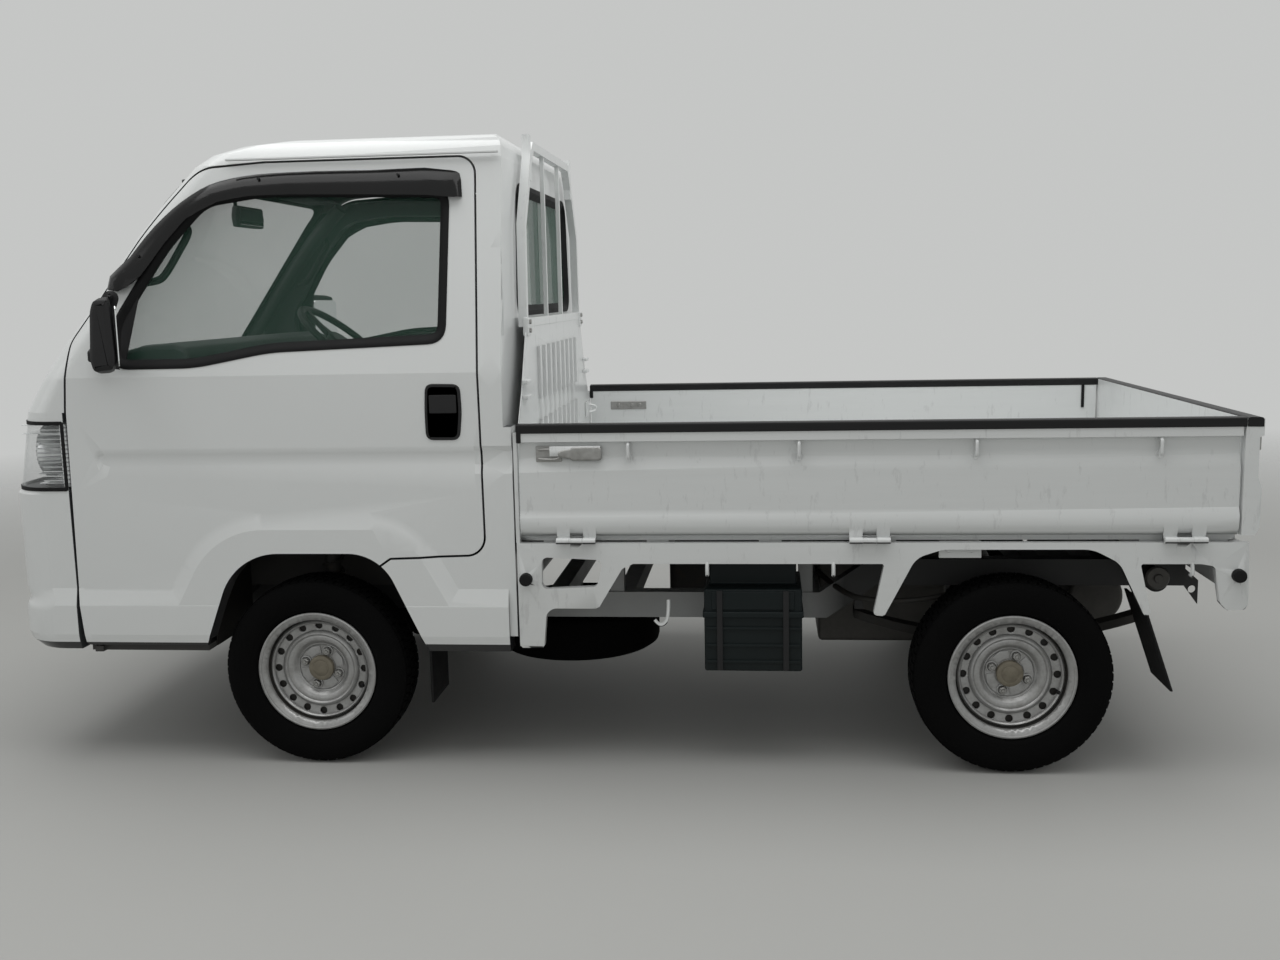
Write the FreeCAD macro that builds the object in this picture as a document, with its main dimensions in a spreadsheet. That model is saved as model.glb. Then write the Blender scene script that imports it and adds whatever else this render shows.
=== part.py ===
import FreeCAD, Part
import Sketcher
import math
import os
from FreeCAD import Placement, Rotation, Vector

# A two-seat kei truck with a forward cab and a drop-side load bed, in millimetres.
# X points forward, Y to the vehicle's left, Z up. The origin is on the ground, midway
# between the front and rear ends and between the two sides.

SIZES = {
    # Whole vehicle
    "overall_length": 3395,
    "overall_width": 1475,
    "overall_height": 1745,
    "wheelbase": 1900,
    "front_overhang": 894,
    "track": 1290,
    # Wheels
    "tyre_radius": 264,
    "tyre_width": 145,
    "tread_width": 112,
    "tyre_bulge_radius": 216,
    "bead_radius": 153,
    "rim_width": 112,
    "rim_flange_radius": 168,
    "rim_flange_wall": 5,
    "rim_well_radius": 146,
    "rim_barrel_wall": 5,
    "disc_offset": 24,
    "disc_wall": 5,
    "disc_dish": 14,
    "disc_ring_radius": 88,
    "hub_radius": 32,
    "hub_proud": 16,
    "hub_cap_wall": 8,
    "rim_ramp": 6,
    "vent_holes": 16,
    "vent_hole_radius": 10.5,
    "vent_circle_radius": 124,
    "spindle_radius": 16,
    "spindle_clearance": 0.05,
    "brake_radius": 96,
    "brake_depth": 44,
    # Steering and suspension
    "kingpin_offset": 580,
    "kingpin_radius": 14,
    "strut_offset": 520,
    "strut_radius": 23,
    "arm_drop": 62,
    "arm_end_half": 16,
    "upright_height": 150,
    "bracket_wall": 12,
    "axle_radius": 32,
    "spring_width": 50,
    "spring_depth": 24,
    "spring_length": 800,
    "spring_camber": 70,
    # Cab form
    "cab_back": 245,
    "cab_half_width": 727,
    "cab_bottom": 332,
    "tuck_under": 14,
    "tuck_height": 44,
    "belt_height": 1093,
    "cab_lean": 0.183,
    "bumper_step": 9,
    "ledge_top": 507,
    "ledge_foot": 459,
    "ledge_proud": 10.5,
    "bumper_groove": 13,
    "groove_height": 473,
    "groove_half": 16,
    "intake_half": 350,
    "intake_low": 556,
    "intake_high": 632,
    "intake_deep": 22,
    "flare_top": 719,
    "flare_front": 1085,
    "flare_back": 500,
    "flare_front_round": 285,
    "flare_back_round": 216,
    "flare_slope": 0.555,
    "flare_foot": 430,
    "flare_inset": 46,
    "band_top": 898,
    "band_low": 823,
    "band_front": 1404,
    "band_deep": 8,
    "band_slope": 9,
    "nose_corner": 130,
    "nose_bow": 9000,
    "lamp_bottom": 784,
    "lamp_top": 974,
    "lamp_inner": 440,
    "cowl_height": 1000,
    "cowl_x": 1687,
    "cowl_corner": 112,
    "cowl_bow": 3000,
    "header_height": 1660,
    "header_x": 1228,
    "screen_bulge": 58,
    "screen_corner": 90,
    "screen_bow": 1500,
    "roof_height": 1730,
    "roof_front": 850,
    "roof_half_width": 520,
    "roof_run_in": 75,
    "roof_back_run": 45,
    "side_wall": 60,
    "front_wall": 40,
    "back_wall": 28,
    "roof_wall": 30,
    "panel_gap": 6,
    "door_skin": 18,
    "door_rebate": 16,
    "lamp_fit": 0.5,
    "quarter_back": 224,
    "quarter_top": 948,
    # Doors and windows
    "door_front": 1462,
    "door_front_top": 1192,
    "door_back": 311,
    "door_top": 1661,
    "door_bottom": 345,
    "door_step_height": 604,
    "door_step_end": 585,
    "arch_front_foot": 1103,
    "arch_front_shoulder": 1005,
    "arch_back_shoulder": 598,
    "arch_back_foot": 476,
    "arch_top": 607,
    "arch_front_round": 175,
    "arch_back_round": 137,
    "window_back": 400,
    "window_sill": 1168,
    "window_sill_front": 1122,
    "window_top": 1590,
    "window_front": 1318,
    "glass_wall": 5,
    "glass_inset": 12,
    "hinge_inset": 34,
    "hinge_skin": 12,
    "hinge_pin_radius": 2.4,
    "hinge_pin_long": 60,
    "pin_clearance": 0.05,
    "step_low": 322,
    "step_thick": 16,
    "step_outer": 700,
    "mirror_x": 1272,
    "mirror_low": 1108,
    "mirror_tall": 204,
    "mirror_wide": 128,
    "mirror_deep": 46,
    "mirror_standoff": 20,
    "mirror_round": 15,
    "mirror_foot_low": 22,
    "mirror_foot_tall": 50,
    "mirror_arm_radius": 11,
    # Cab openings
    "screen_low": 1040,
    "screen_high": 1648,
    "screen_low_half": 640,
    "screen_high_half": 560,
    "back_light_half": 470,
    "back_light_low": 1245,
    "back_light_high": 1600,
    "back_light_round": 60,
    # Cab inside
    "footwell_floor": 392.3,
    "seat_deck": 640,
    "floor_wall": 20,
    "housing_inner": 392,
    "housing_front": 1130,
    "toeboard_x": 1560,
    "toeboard_half": 555,
    "toeboard_start": 1480,
    "dash_back": 1200,
    "dash_top": 1118,
    "dash_depth": 250,
    "seat_offset": 340,
    "seat_width": 460,
    "cushion_thick": 130,
    "cushion_long": 480,
    "squab_thick": 120,
    "squab_high": 560,
    "squab_lean": 12,
    "seat_back_gap": 20,
    "squab_gap": 30,
    "squab_foot": 120,
    "wheel_hub_x": 1025,
    "wheel_hub_z": 1145,
    "steer_tilt": 40,
    "steer_ring_radius": 178,
    "steer_grip_radius": 14,
    "spoke_wide": 34,
    "spoke_thick": 12,
    "spoke_drop": 18,
    "column_radius": 26,
    "column_long": 430,
    "hub_drop": 50,
    "hub_deep": 40,
    # Load bed
    "bed_front": 205,
    "bed_back": 1648,
    "gate_bottom": 654,
    "gate_top": 951,
    "gate_inner": 703,
    "gate_hinge_drop": 11,
    "gate_hinge_proud": 8,
    "hook_radius": 5,
    "hook_low": 200,
    "hook_high": 256,
    "hook_inset": 6,
    "latch_back": -15,
    "latch_front": 120,
    "latch_low": 216,
    "latch_high": 242,
    "latch_deep": 25,
    "hinge_barrel_radius": 8,
    "hinge_long": 106,
    "hinge_gap": 0.5,
    "hinge_reach": 30,
    "hinge_leaf": 4,
    "hinge_edge": 10,
    "tail_leaf_high": 6,
    "floor_top": 662,
    "floor_thick": 26,
    "floor_rib_depth": 8,
    "floor_rib_wide": 60,
    "crossbeam_depth": 46,
    "crossbeam_wide": 60,
    "skirt_outer": 731,
    "skirt_wall": 22,
    "skirt_low": 578,
    "skirt_leg_low": 345,
    "skirt_top": 634,
    "headboard_x": 212,
    "headboard_wall": 4,
    "headboard_rib": 10,
    "headboard_top": 1206,
    "headboard_top_half": 512,
    "headboard_shoulder": 1000,
    "headboard_slope": 96,
    "headboard_drop": 46,
    "rib_pitch": 88,
    "rib_half": 14,
    "post_drop": 20,
    "post_inset": 12,
    "guard_tube": 24,
    "guard_half_top": 330,
    "guard_half_mid": 496,
    "guard_mid_height": 1490,
    "guard_bar_half": 140,
    "guard_bar_wall": 7,
    "guard_bar_deep": 12,
    "guard_ear": 44,
    "guard_ear_wall": 8,
    "guard_ear_tall": 130,
    "guard_shoulder": 60,
    "guard_shoulder_run": 50,
    "guard_top_drop": 16,
    "tailgate_outer": 1692,
    "tail_barrel_radius": 6.5,
    "tailgate_gap": 6,
    "rear_panel_low": 500,
    "rear_panel_wall": 24,
    "rear_panel_out": 8,
    "tail_lamp_deep": 24,
    "tail_lamp_wide": 184,
    "tail_lamp_inset": 6,
    "tail_lamp_low": 512,
    "tail_lamp_top": 604,
    "stop_radius": 15,
    "stop_proud": 10,
    # Under the bed
    "rail_front_offset": 330,
    "rail_back_offset": 425,
    "rail_wide": 50,
    "rail_back_end": -1600,
    "rail_low": 366,
    "rail_deep": 74,
    "rail_kick": 96,
    "rail_dip": 48,
    "dip_start": 1080,
    "dip_end": 1130,
    "engine_long": 380,
    "engine_member": -580,
    "member_wide": 50,
    "engine_half": 240,
    "engine_low": 232,
    "engine_high": 560,
    "box_front": -282,
    "box_back": -544,
    "box_low": 276,
    "box_high": 503,
    "box_outer": 705,
    "tank_front": -130,
    "tank_back": -560,
    "tank_low": 262,
    "tank_high": 500,
    "spare_x": 165,
    "spare_low": 160,
    "muffler_radius": 78,
    "muffler_x": -1400,
    "muffler_half": 330,
    "rear_tube_radius": 31,
    "rear_tube_x": -1486,
    "rear_tube_z": 505,
    "rear_tube_half": 600,
    "tow_hook_wall": 8,
    "tow_hook_hole": 11,
    "flap_wall": 8,
    "flap_wide": 170,
    "seat_fit": 0.3,
}

doc = FreeCAD.newDocument("kei_truck")
sheet = doc.addObject("Spreadsheet::Sheet", "Sizes")
for row, (alias, number) in enumerate(SIZES.items(), start=1):
    sheet.set(f"A{row}", alias)
    sheet.set(f"B{row}", str(number))
    sheet.setAlias(f"B{row}", alias)
doc.recompute()


class Size:
    """A number together with the sheet expression that gives it."""

    def __init__(self, value, text):
        self.value = float(value)
        self.text = text

    def __add__(self, other):
        other = as_size(other)
        return Size(self.value + other.value, f"({self.text} + {other.text})")

    def __sub__(self, other):
        other = as_size(other)
        return Size(self.value - other.value, f"({self.text} - {other.text})")

    def __mul__(self, other):
        other = as_size(other)
        return Size(self.value * other.value, f"({self.text} * {other.text})")

    def __truediv__(self, other):
        other = as_size(other)
        return Size(self.value / other.value, f"({self.text} / {other.text})")

    def __radd__(self, other):
        return as_size(other) + self

    def __rsub__(self, other):
        return as_size(other) - self

    def __rmul__(self, other):
        return as_size(other) * self

    def __neg__(self):
        return Size(-self.value, f"(-{self.text})")

    def __float__(self):
        return self.value


def as_size(thing):
    return thing if isinstance(thing, Size) else Size(thing, repr(float(thing)))


class Sheet:
    """Gives each cell of the sheet by its alias."""

    def __getattr__(self, alias):
        return Size(sheet.get(alias), f"Sizes.{alias}")


S = Sheet()
nodes = []
headlamps = []


def node(label, thing):
    """Marks an object as one piece of the truck, written under its label."""
    thing.Label = label
    nodes.append(thing)
    return thing


def bind(thing, **places):
    """Ties properties of an object to the sheet."""
    for prop, amount in places.items():
        thing.setExpression(prop.replace("__", "."), as_size(amount).text)


def at(thing, x=0, y=0, z=0):
    """Ties an object's place to the sheet."""
    bind(thing, Placement__Base__x=x, Placement__Base__y=y, Placement__Base__z=z)
    return thing


def box(x, y, z):
    """A block between the pairs of limits x, y and z."""
    block = doc.addObject("Part::Box", "block")
    bind(block, Length=as_size(x[1]) - x[0], Width=as_size(y[1]) - y[0], Height=as_size(z[1]) - z[0])
    return at(block, x[0], y[0], z[0])


TURN = {
    "X": Rotation(Vector(0, 1, 0), 90),
    "Y": Rotation(Vector(1, 0, 0), -90),
    "Z": Rotation(),
}


def rod(radius, start, end, x=0, y=0, z=0, along="Y"):
    """A round bar along one axis, from start to end, through the other two places."""
    bar = doc.addObject("Part::Cylinder", "rod")
    bar.Placement = Placement(Vector(), TURN[along])
    bind(bar, Radius=radius, Height=as_size(end) - start)
    place = {"X": x, "Y": y, "Z": z}
    place[along] = start
    return at(bar, place["X"], place["Y"], place["Z"])


def both_ways(low, high):
    """The same stretch of Y on the left and on the right."""
    return ((low, high), (-as_size(high), -as_size(low)))


def fuse(*things):
    whole = doc.addObject("Part::MultiFuse", "whole")
    whole.Shapes = list(things)
    whole.Refine = True
    return whole


def cut(base, *tools):
    """The base less each tool."""
    rest = doc.addObject("Part::Cut", "rest")
    rest.Base = base
    rest.Tool = tools[0] if len(tools) == 1 else fuse(*tools)
    return rest


def common(first, second):
    shared = doc.addObject("Part::Common", "shared")
    shared.Base = first
    shared.Tool = second
    return shared


def mirrored(thing):
    """The same piece on the vehicle's other side."""
    other = doc.addObject("Part::Mirroring", "other_side")
    other.Source = thing
    other.Normal = Vector(0, 1, 0)
    return other


def pair(label, left):
    """A left piece and its mirrored right piece in one node."""
    both = doc.addObject("Part::Compound", "pair")
    both.Links = [left, mirrored(left)]
    return node(label, both)


def solid(shape):
    """An object that holds a shape worked out from the sheet's values."""
    thing = doc.addObject("Part::Feature", "form")
    thing.Shape = shape
    return thing


def origin_feature(body, role):
    return next(feature for feature in body.Origin.OriginFeatures if feature.Role == role)


def sketch(body, plane, corners, level=0):
    """A closed outline on one of a body's planes, with every corner tied to the sheet."""
    outline = body.newObject("Sketcher::SketchObject", "outline")
    outline.AttachmentSupport = (origin_feature(body, plane), [""])
    outline.MapMode = "FlatFace"
    outline.setExpression("AttachmentOffset.Base.z", as_size(level).text)
    corners = [(as_size(u), as_size(v)) for u, v in corners]
    count = len(corners)
    for i, (u, v) in enumerate(corners):
        u2, v2 = corners[(i + 1) % count]
        outline.addGeometry(Part.LineSegment(Vector(u.value, v.value, 0), Vector(u2.value, v2.value, 0)))
    for i in range(count):
        outline.addConstraint(Sketcher.Constraint("Coincident", i, 2, (i + 1) % count, 1))
    for i, corner in enumerate(corners):
        for kind, amount in zip(("DistanceX", "DistanceY"), corner):
            index = outline.addConstraint(Sketcher.Constraint(kind, -1, 1, i, 1, amount.value))
            outline.setExpression(f"Constraints[{index}]", amount.text)
    return outline


def pad(plane, corners, low, high):
    """An outline on a plane, padded from low to high across it."""
    body = doc.addObject("PartDesign::Body", "profile")
    level = -as_size(high) if plane == "XZ_Plane" else as_size(low)
    outline = sketch(body, plane, corners, level)
    length = body.newObject("PartDesign::Pad", "length")
    length.Profile = outline
    bind(length, Length=as_size(high) - low)
    return body


def revolve(corners):
    """A body turned about the Y axis from an outline of (across, radius) corners."""
    body = doc.addObject("PartDesign::Body", "turned")
    outline = sketch(body, "YZ_Plane", corners)
    turn = body.newObject("PartDesign::Revolution", "turn")
    turn.Profile = outline
    turn.ReferenceAxis = (outline, ["H_Axis"])
    turn.Angle = 360
    return body


def rounded_wire(corners, place):
    """A closed wire through (u, v, radius) corners. place turns u, v into a point."""
    points = [Vector(float(c[0]), float(c[1]), 0) for c in corners]
    radii = [float(c[2]) if len(c) > 2 else 0.0 for c in corners]
    count = len(points)
    ends = []
    for i, point in enumerate(points):
        before = points[i - 1] - point
        after = points[(i + 1) % count] - point
        run = 0.49 * min(before.Length, after.Length)
        half = before.getAngle(after) / 2
        reach = min(radii[i] / math.tan(half), run) if radii[i] > 0 else 0.0
        back = point + before.normalize() * reach
        ahead = point + after.normalize() * reach
        radius = reach * math.tan(half)
        inward = (back + ahead) * 0.5 - point
        middle = point
        if reach > 0:
            inward.normalize()
            middle = point + inward * (radius / math.sin(half) - radius)
        ends.append((back, middle, ahead, reach > 0))
    edges = []
    for i, (back, middle, ahead, is_round) in enumerate(ends):
        if is_round:
            edges.append(Part.Arc(place(back), place(middle), place(ahead)).toShape())
        following = ends[(i + 1) % count][0]
        if (following - ahead).Length > 0.01:
            edges.append(Part.makeLine(place(ahead), place(following)))
    return Part.Wire(edges)


def across_y(point):
    return Vector(point.x, 0, point.y)


def across_x(point):
    return Vector(0, point.x, point.y)


def side_prism(corners, low, high, grow=0):
    """A rounded outline of (x, z, radius) corners, from y = low to y = high."""
    wire = rounded_wire(corners, across_y)
    if float(grow):
        wire = wire.makeOffset2D(float(grow))
    face = Part.Face(wire)
    face.translate(Vector(0, float(low), 0))
    return face.extrude(Vector(0, float(high) - float(low), 0))


def front_prism(corners, low, high, grow=0):
    """A rounded outline of (y, z, radius) corners, from x = low to x = high."""
    wire = rounded_wire(corners, across_x)
    if float(grow):
        wire = wire.makeOffset2D(float(grow))
    face = Part.Face(wire)
    face.translate(Vector(float(low), 0, 0))
    return face.extrude(Vector(float(high) - float(low), 0, 0))


def block(x, y, z):
    """A plain box shape between the pairs of limits x, y and z."""
    size = [float(b) - float(a) for a, b in (x, y, z)]
    return Part.makeBox(*size, Vector(float(x[0]), float(y[0]), float(z[0])))


half_length = S.overall_length / 2
half_width = S.overall_width / 2
front_axle = half_length - S.front_overhang
rear_axle = front_axle - S.wheelbase
wheel_y = S.track / 2
FAR = 2000


# The cab is lofted through level sections: straight sides, and a nose that is a full curve.
def mix(low, high, share):
    return float(low) + (float(high) - float(low)) * share


def bend(start, middle, end, share):
    """A point on a quadratic curve."""
    rest = 1 - share
    return float(start) * rest ** 2 + 2 * rest * share * float(middle) + float(end) * share ** 2


def half_width_at(z):
    lean = max(0.0, z - float(S.belt_height)) * float(S.cab_lean)
    tuck = max(0.0, 1 - (z - float(S.cab_bottom)) / float(S.tuck_height)) ** 2 * float(S.tuck_under)
    share = (float(S.ledge_top) - z) / float(S.ledge_top - S.ledge_foot)
    ledge = max(0.0, min(1.0, share)) * float(S.ledge_proud)
    return float(S.cab_half_width) + ledge - lean - tuck


def level_sections():
    """Rows of height, half width, nose, back, corner radius and bow radius, from sill to roof."""
    bottom, tuck = float(S.cab_bottom), float(S.tuck_height)
    bumper, back = float(half_length), float(S.cab_back)
    nose = bumper - float(S.bumper_step)
    groove, reach = float(S.groove_height), float(S.groove_half)
    low_rows = [
        (bottom, bumper - 2 * float(S.tuck_under)),
        (bottom + tuck / 2, bumper - float(S.tuck_under) / 2),
        (bottom + tuck, bumper),
        (float(S.ledge_foot) - reach, bumper),
        (float(S.ledge_foot), mix(bumper, bumper - float(S.bumper_groove), 0.5)),
        (groove, bumper - float(S.bumper_groove)),
        (groove + reach, mix(bumper, bumper - float(S.bumper_groove), 0.5)),
        (float(S.ledge_top), bumper),
        (float(S.lamp_bottom) - 12, bumper),
        (float(S.lamp_bottom) - 4, nose),
    ]
    rows = [(z, half_width_at(z), x, back, float(S.nose_corner), float(S.nose_bow)) for z, x in low_rows]
    steps = 7
    for i in range(steps + 1):
        share = i / steps
        z = mix(S.cowl_height, S.header_height, share)
        x = mix(S.cowl_x, S.header_x, share) + 4 * share * (1 - share) * float(S.screen_bulge)
        blend = min(1.0, 2.2 * share)
        corner = mix(S.cowl_corner, S.screen_corner, blend)
        bow = 1 / mix(1 / float(S.cowl_bow), 1 / float(S.screen_bow), blend)
        rows.append((z, half_width_at(z), x, back, corner, bow))
    edge = rows[-1]
    rise = float(S.roof_height) - float(S.header_height)
    for share in (0.25, 0.5, 0.75, 1.0):
        z = bend(edge[0], S.roof_height, S.roof_height, share)
        wide = bend(edge[1], edge[1] - rise * float(S.cab_lean), S.roof_half_width, share)
        x = bend(edge[2], edge[2] - float(S.roof_run_in), S.roof_front, share)
        rear = bend(back, back, back + float(S.roof_back_run), share)
        rows.append((z, wide, x, rear, edge[4], edge[5]))
    return rows


def section_wire(z, wide, nose, back, corner, bow):
    """A level outline: straight sides, round front corners and a gently bowed nose."""
    corner = min(corner, wide * 0.6)
    centre_y = wide - corner
    centre_x = nose - bow + math.sqrt((bow - corner) ** 2 - centre_y ** 2)
    lean = math.atan2(centre_y, centre_x - nose + bow)
    side = Vector(centre_x, wide, z)
    join = Vector(nose - bow + bow * math.cos(lean), bow * math.sin(lean), z)
    half_turn = (math.pi / 2 + lean) / 2
    out = Vector(math.cos(half_turn), math.sin(half_turn), 0)
    middle = Vector(centre_x, centre_y, z) + out * corner

    def opposite(point):
        return Vector(point.x, -point.y, z)

    back_left = Vector(back, wide, z)
    return Part.Wire([
        Part.makeLine(back_left, side),
        Part.Arc(side, middle, join).toShape(),
        Part.Arc(join, Vector(nose, 0, z), opposite(join)).toShape(),
        Part.Arc(opposite(join), opposite(middle), opposite(side)).toShape(),
        Part.makeLine(opposite(side), opposite(back_left)),
        Part.makeLine(opposite(back_left), back_left),
    ])


def cab_form(side=0, front=0, back=0, roof=0, drop=0):
    """The cab's outer form, or the form that lies inside it by the given walls."""
    side, front, back, roof, drop = (float(wall) for wall in (side, front, back, roof, drop))
    wires = []
    for z, wide, nose, rear, corner, bow in level_sections():
        share = (z - float(S.belt_height)) / float(S.roof_height - S.belt_height)
        low = roof * max(0.0, min(1.0, share))
        wires.append(section_wire(z - low, wide - side, nose - front, rear + back, corner, bow - front))
    if drop:
        lowest = wires[0].copy()
        lowest.translate(Vector(0, 0, -drop))
        wires.insert(0, lowest)
    return Part.makeLoft(wires, True, True)


def door_corners():
    return [
        (S.door_front - 8, S.door_bottom, 12),
        (S.door_front + 6, 501, 60),
        (S.door_front, 1000, 300),
        (S.door_front - 16, S.door_front_top, 60),
        (1231, 1497, 900),
        (1085, S.door_top - 12, 120),
        (900, S.door_top, 300),
        (S.door_back + 8, S.door_top, 45),
        (S.door_back, 973, 900),
        (S.door_back - 3, S.door_step_height, 48),
        (S.door_step_end - 18, S.door_step_height - 8, 12),
        (S.door_step_end + 20, S.door_step_height - 34, 0),
        (S.door_step_end + 110, S.door_step_height - 130, 0),
        (S.arch_front_foot - 60, S.door_bottom, 0),
    ]


def arch_corners():
    return [
        (S.arch_front_foot + 90, 100, 0),
        (S.arch_front_foot, S.door_bottom, 0),
        (S.arch_front_shoulder, S.arch_top, S.arch_front_round),
        (S.arch_back_shoulder, S.arch_top, S.arch_back_round),
        (S.arch_back_foot, S.door_bottom, 0),
        (S.arch_back_foot - 90, 100, 0),
    ]


def window_corners():
    return [
        (S.window_front, S.window_sill_front, 25),
        (S.window_front, S.window_sill_front + 120, 120),
        (1190, 1440, 600),
        (1070, S.window_top - 20, 110),
        (900, S.window_top, 300),
        (S.window_back - 12, S.window_top - 16, 20),
        (S.window_back, S.window_sill + 10, 40),
        (880, S.window_sill - 8, 200),
        (1090, S.window_sill_front, 160),
    ]


def flare_wire(inset, y):
    """The outline of the wheel arch's flare, drawn in from its outer crease."""
    slope, foot = float(S.flare_slope), float(S.flare_foot)
    top = float(S.flare_top) - inset
    shift = inset * (math.hypot(1, slope) - slope)
    front, back = float(S.flare_front) - shift, float(S.flare_back) + shift
    splay = slope * (top - foot)
    corners = [
        (front + splay, foot, 0),
        (front, top, float(S.flare_front_round) - inset),
        (back, top, float(S.flare_back_round) - inset),
        (back - splay, foot, 0),
    ]
    wire = rounded_wire(corners, across_y)
    wire.translate(Vector(0, y, 0))
    return wire


def flare_form():
    """The proud lip over one front wheel: a sloped crease outside and a flat face inside it."""
    skin = float(S.cab_half_width)
    crest = flare_wire(float(S.flare_inset), skin + float(S.ledge_proud) - 0.5)
    return Part.makeLoft([flare_wire(-4.0, skin - 1), crest], True, True)


def band_form():
    """The shallow pressed band along the side, with sloped edges and a rounded front end."""
    low, high, slope = float(S.band_low), float(S.band_top), float(S.band_slope)
    front, back = float(S.band_front), float(S.quarter_back) - 20
    skin = float(S.cab_half_width)
    wires = []
    for inset, y in ((-slope / float(S.band_deep), skin + 1), (slope, skin - float(S.band_deep))):
        corners = [
            (back, low + inset, 0), (front - 30 - inset, low + inset, 25), (front - inset, high - inset, 25),
            (back, high - inset, 0),
        ]
        wire = rounded_wire(corners, across_y)
        wire.translate(Vector(0, y, 0))
        wires.append(wire)
    return Part.makeLoft(wires, True, True)


def on_both_sides(shape):
    return shape.fuse(shape.mirror(Vector(), Vector(0, 1, 0)))


outer = cab_form().fuse(on_both_sides(flare_form())).cut(on_both_sides(band_form()))
inner = cab_form(S.side_wall, S.front_wall, S.back_wall, S.roof_wall, 100)
wall = outer.cut(inner)
door_hole = side_prism(door_corners(), 300, 900, S.panel_gap)
arch_hole = side_prism(arch_corners(), 300, 900)
roof_split = S.door_top + S.panel_gap
nose_split = S.door_front + S.panel_gap + 6
both_sides = [(door_hole, arch_hole), tuple(s.mirror(Vector(), Vector(0, 1, 0)) for s in (door_hole, arch_hole))]


def without_sides(shape):
    for holes in both_sides:
        for hole in holes:
            shape = shape.cut(hole)
    return shape


def one_solid(shape):
    """The largest solid of a shape, with the slivers that a cut can leave dropped."""
    return max(shape.Solids, key=lambda piece: piece.Volume)


screen_hole = front_prism([
    (-S.screen_low_half, S.screen_low, 70),
    (S.screen_low_half, S.screen_low, 70),
    (S.screen_high_half, S.screen_high, 90),
    (-S.screen_high_half, S.screen_high, 90),
], 900, FAR)
back_light = front_prism([
    (-S.back_light_half, S.back_light_low, S.back_light_round),
    (S.back_light_half, S.back_light_low, S.back_light_round),
    (S.back_light_half - 40, S.back_light_high, S.back_light_round),
    (40 - S.back_light_half, S.back_light_high, S.back_light_round),
], 0, 600)


def lamp_zone(grow=0):
    grow = float(grow)
    return block(
        (float(nose_split) - 1 - grow, FAR),
        (float(S.lamp_inner) - grow, FAR),
        (float(S.lamp_bottom) - grow, float(S.lamp_top) + grow),
    )


def make_cab():
    whole = (-FAR, FAR)
    roof = wall.common(block(whole, whole, (roof_split, FAR)))
    node("roof_panel", solid(one_solid(roof)))
    frame_zone = block((900, FAR), whole, (S.cowl_height, roof_split))
    frame = without_sides(wall.common(frame_zone)).cut(screen_hole)
    node("windscreen_frame", solid(one_solid(frame)))
    nose = wall.common(block((nose_split, FAR), whole, (S.lamp_bottom - 6, S.cowl_height)))
    left_lamp = lamp_zone(S.lamp_fit)
    nose = nose.cut(left_lamp).cut(left_lamp.mirror(Vector(), Vector(0, 1, 0)))
    node("nose_panel", solid(one_solid(without_sides(nose))))
    bumper = wall.common(block((nose_split, FAR), whole, (0, S.lamp_bottom - 6)))
    intake_half, bumper_face = float(S.intake_half), float(half_length)
    intake = front_prism([
        (-intake_half, S.intake_low, 30), (intake_half, S.intake_low, 30),
        (intake_half + 14, S.intake_high, 20), (-intake_half - 14, S.intake_high, 20),
    ], bumper_face - float(S.intake_deep), FAR)
    node("front_bumper", solid(one_solid(without_sides(bumper).cut(intake))))
    lamp = wall.common(lamp_zone())
    headlamps.append(solid(one_solid(lamp)))
    headlamps.append(mirrored(headlamps[0]))
    room_half = S.cab_half_width - S.side_wall
    back_zone = block((0, S.cab_back + S.back_wall), (-room_half, room_half), (0, roof_split))
    over_rails = block(whole, whole, (S.rail_low + S.rail_deep + S.seat_fit, FAR))
    back = wall.common(back_zone).cut(back_light).common(over_rails)
    node("cab_back_panel", solid(one_solid(back)))
    sides = wall.common(block((0, 900), whole, (0, roof_split))).cut(back_zone)
    sides = without_sides(sides)
    quarter = block((S.quarter_back, S.cab_back), (S.cab_half_width - S.side_wall, S.cab_half_width),
                    (S.cab_bottom + S.tuck_height, S.quarter_top)).cut(band_form())
    left = one_solid(sides.common(block(whole, (0, FAR), whole)).fuse(quarter).removeSplitter())
    right = left.mirror(Vector(), Vector(0, 1, 0))
    node("cab_sides", solid(Part.makeCompound([left, right])))
    inset = S.glass_inset + S.glass_wall
    pane = cab_form(S.glass_inset, S.glass_inset, 0, 0, 50).cut(cab_form(inset, inset, 0, 0, 60))
    screen = one_solid(pane.common(screen_hole))
    back_pane = back_light.common(block((S.cab_back + S.glass_inset, S.cab_back + inset), whole, whole))
    node("cab_glass", solid(Part.makeCompound([screen, one_solid(back_pane)])))


def door_axis():
    """Where the door's hinge pin stands, near its front edge and just under its skin."""
    return S.door_front - S.hinge_inset, S.cab_half_width - S.hinge_skin


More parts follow.
